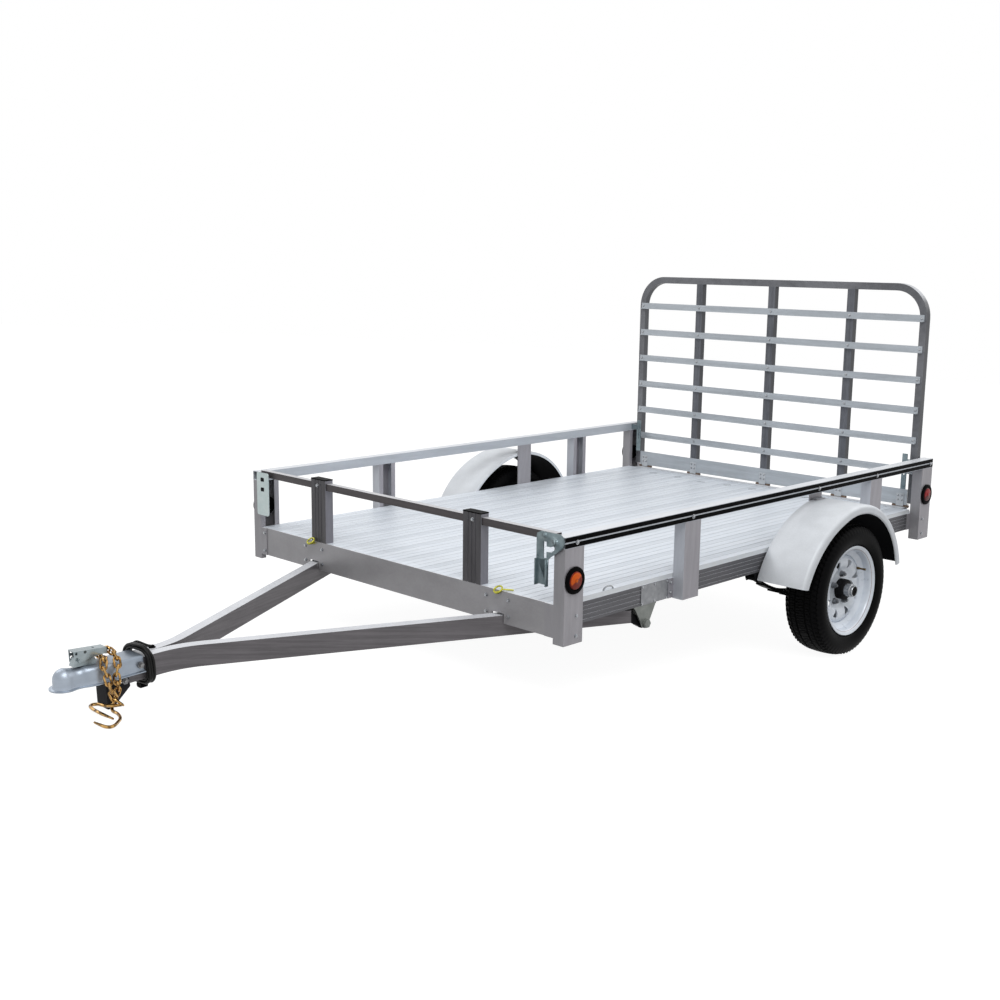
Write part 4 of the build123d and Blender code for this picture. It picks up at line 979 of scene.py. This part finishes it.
def chainShapes(points):
    # even joints along the curve; each link is a stadium about its two joints
    curve = smoothPath(points, 12)
    far = np.concatenate([[0], np.cumsum(np.linalg.norm(np.diff(curve, axis=0), axis=1))])
    count = round(far[-1] / chains["pitch"])
    joints = np.stack([np.interp(np.linspace(0, far[-1], count + 1), far, curve[:, k]) for k in range(3)], -1)
    along = np.diff(joints, axis=0)
    middle = joints[:-1] + along / 2
    along /= np.linalg.norm(along, axis=1)[:, None]
    side = np.cross(along, (0.3, 1.0, 0.2))
    side /= np.linalg.norm(side, axis=1)[:, None]
    over = np.cross(along, side)
    odd = (np.arange(count) % 2 == 1)[:, None]
    side, over = np.where(odd, over, side), np.where(odd, side, over)
    wire, arc = chains["wire"], chains["width"] / 2 - chains["wire"]
    straight = (chains["pitch"] + 4 * wire) / 2 - wire - arc + chains["slack"]
    turn = np.linspace(0, math.tau, 20, endpoint=False) + 0.01
    u, v = np.sign(np.cos(turn)) * straight + arc * np.cos(turn), arc * np.sin(turn)
    loops = middle[:, None] + u[None, :, None] * along[:, None] + v[None, :, None] * side[:, None]
    return [tubeShape(loop, wire, 8, True, normal) for loop, normal in zip(loops, over)]


def hookShape(points):
    # a tube along the curve, thinner over its last tenth
    path = smoothPath(points, 8)
    taper = np.interp(np.linspace(0, 1, len(path)), [0, 0.9, 1], [1, 1, 0.62])
    return tubeShape(path, chains["hookWire"] * taper, 10)


addPiece("chainLinks", chainShapes(chains["front"]) + chainShapes(chains["rear"]), "yellow", "tongue",
         fromTongue, replaces=["safety_chains"])
addPiece("chainEndHooks", [hookShape(chains["frontHook"]), hookShape(chains["rearHook"])], "yellow", "tongue",
         fromTongue, replaces=["chain_hooks"])
print("chains hung")

# Light and floor: the floor and the air behind are white to the eye, and the floor keeps a soft shadow

studio = {"sky": 0.62, "floorGrey": 0.2, "floorGlow": 0.94, "floorHalf": 40.0}
lamps = {
    "keyLamp": {"place": (3.0, -3.0, 5.5), "aim": (0.0, 0.3, 0.4), "size": 4.0, "power": 170.0},
    "fillLamp": {"place": (-5.0, -2.0, 4.0), "aim": (0.0, 0.2, 0.4), "size": 4.0, "power": 70.0},
    "rearLamp": {"place": (2.5, 6.0, 4.5), "aim": (0.0, 0.8, 0.4), "size": 4.0, "power": 70.0},
}


def addLamp(name, spec):
    data = bpy.data.lights.new(name, "AREA")
    data.shape, data.size, data.energy = "DISK", spec["size"], spec["power"]
    made = addObject(name, data)
    aim = mathutils.Vector(spec["aim"]) - mathutils.Vector(spec["place"])
    turned = aim.to_track_quat("-Z", "Y").to_matrix().to_4x4()
    made.matrix_world = mathutils.Matrix.Translation(spec["place"]) @ turned


def addWorld():
    world = bpy.data.worlds.new("studioWorld")
    bpy.context.scene.world = world
    world.use_nodes = True
    tree = world.node_tree
    tree.nodes.clear()
    path = tree.nodes.new("ShaderNodeLightPath")
    first, seen = (tree.nodes.new("ShaderNodeMath") for _ in range(2))
    first.operation = seen.operation = "MAXIMUM"
    tree.links.new(path.outputs["Is Camera Ray"], first.inputs[0])
    tree.links.new(path.outputs["Is Glossy Ray"], first.inputs[1])
    tree.links.new(first.outputs[0], seen.inputs[0])
    tree.links.new(path.outputs["Is Transmission Ray"], seen.inputs[1])
    both, out = tree.nodes.new("ShaderNodeMixShader"), tree.nodes.new("ShaderNodeOutputWorld")
    tree.links.new(seen.outputs[0], both.inputs[0])
    for place, strength in ((1, studio["sky"]), (2, 1.0)):
        back = tree.nodes.new("ShaderNodeBackground")
        back.inputs[0].default_value, back.inputs[1].default_value = (1, 1, 1, 1), strength
        tree.links.new(back.outputs[0], both.inputs[place])
    tree.links.new(both.outputs[0], out.inputs[0])


def addFloor():
    half = studio["floorHalf"]
    mesh = bpy.data.meshes.new("floor")
    corners = [(-half, -half, 0), (half, -half, 0), (half, half, 0), (-half, half, 0)]
    mesh.from_pydata(corners, [], [(0, 1, 2, 3)])
    made = addObject("floor", mesh)
    paper = Finish("floorPaper")
    tree = paper.tree
    path = tree.nodes.new("ShaderNodeLightPath")
    diffuse, glow = tree.nodes.new("ShaderNodeBsdfDiffuse"), tree.nodes.new("ShaderNodeEmission")
    diffuse.inputs[0].default_value = (*[studio["floorGrey"]] * 3, 1)
    glow.inputs[1].default_value = studio["floorGlow"]
    camera, glossy = (Wire(paper, path.outputs["Is %s Ray" % kind]) for kind in ("Camera", "Glossy"))
    seen = camera.math("MAXIMUM", glossy)
    both, pick = tree.nodes.new("ShaderNodeAddShader"), tree.nodes.new("ShaderNodeMixShader")
    tree.links.new(diffuse.outputs[0], both.inputs[0])
    tree.links.new(glow.outputs[0], both.inputs[1])
    tree.links.new(seen.socket, pick.inputs[0])
    tree.links.new(diffuse.outputs[0], pick.inputs[1])
    tree.links.new(both.outputs[0], pick.inputs[2])
    tree.links.new(pick.outputs[0], tree.nodes["Material Output"].inputs[0])
    made.data.materials.append(paper.material)


addWorld()
addFloor()
for lampName, lampSpec in lamps.items():
    addLamp(lampName, lampSpec)
bpy.context.scene.view_settings.view_transform = "Standard"
print("light and floor set")
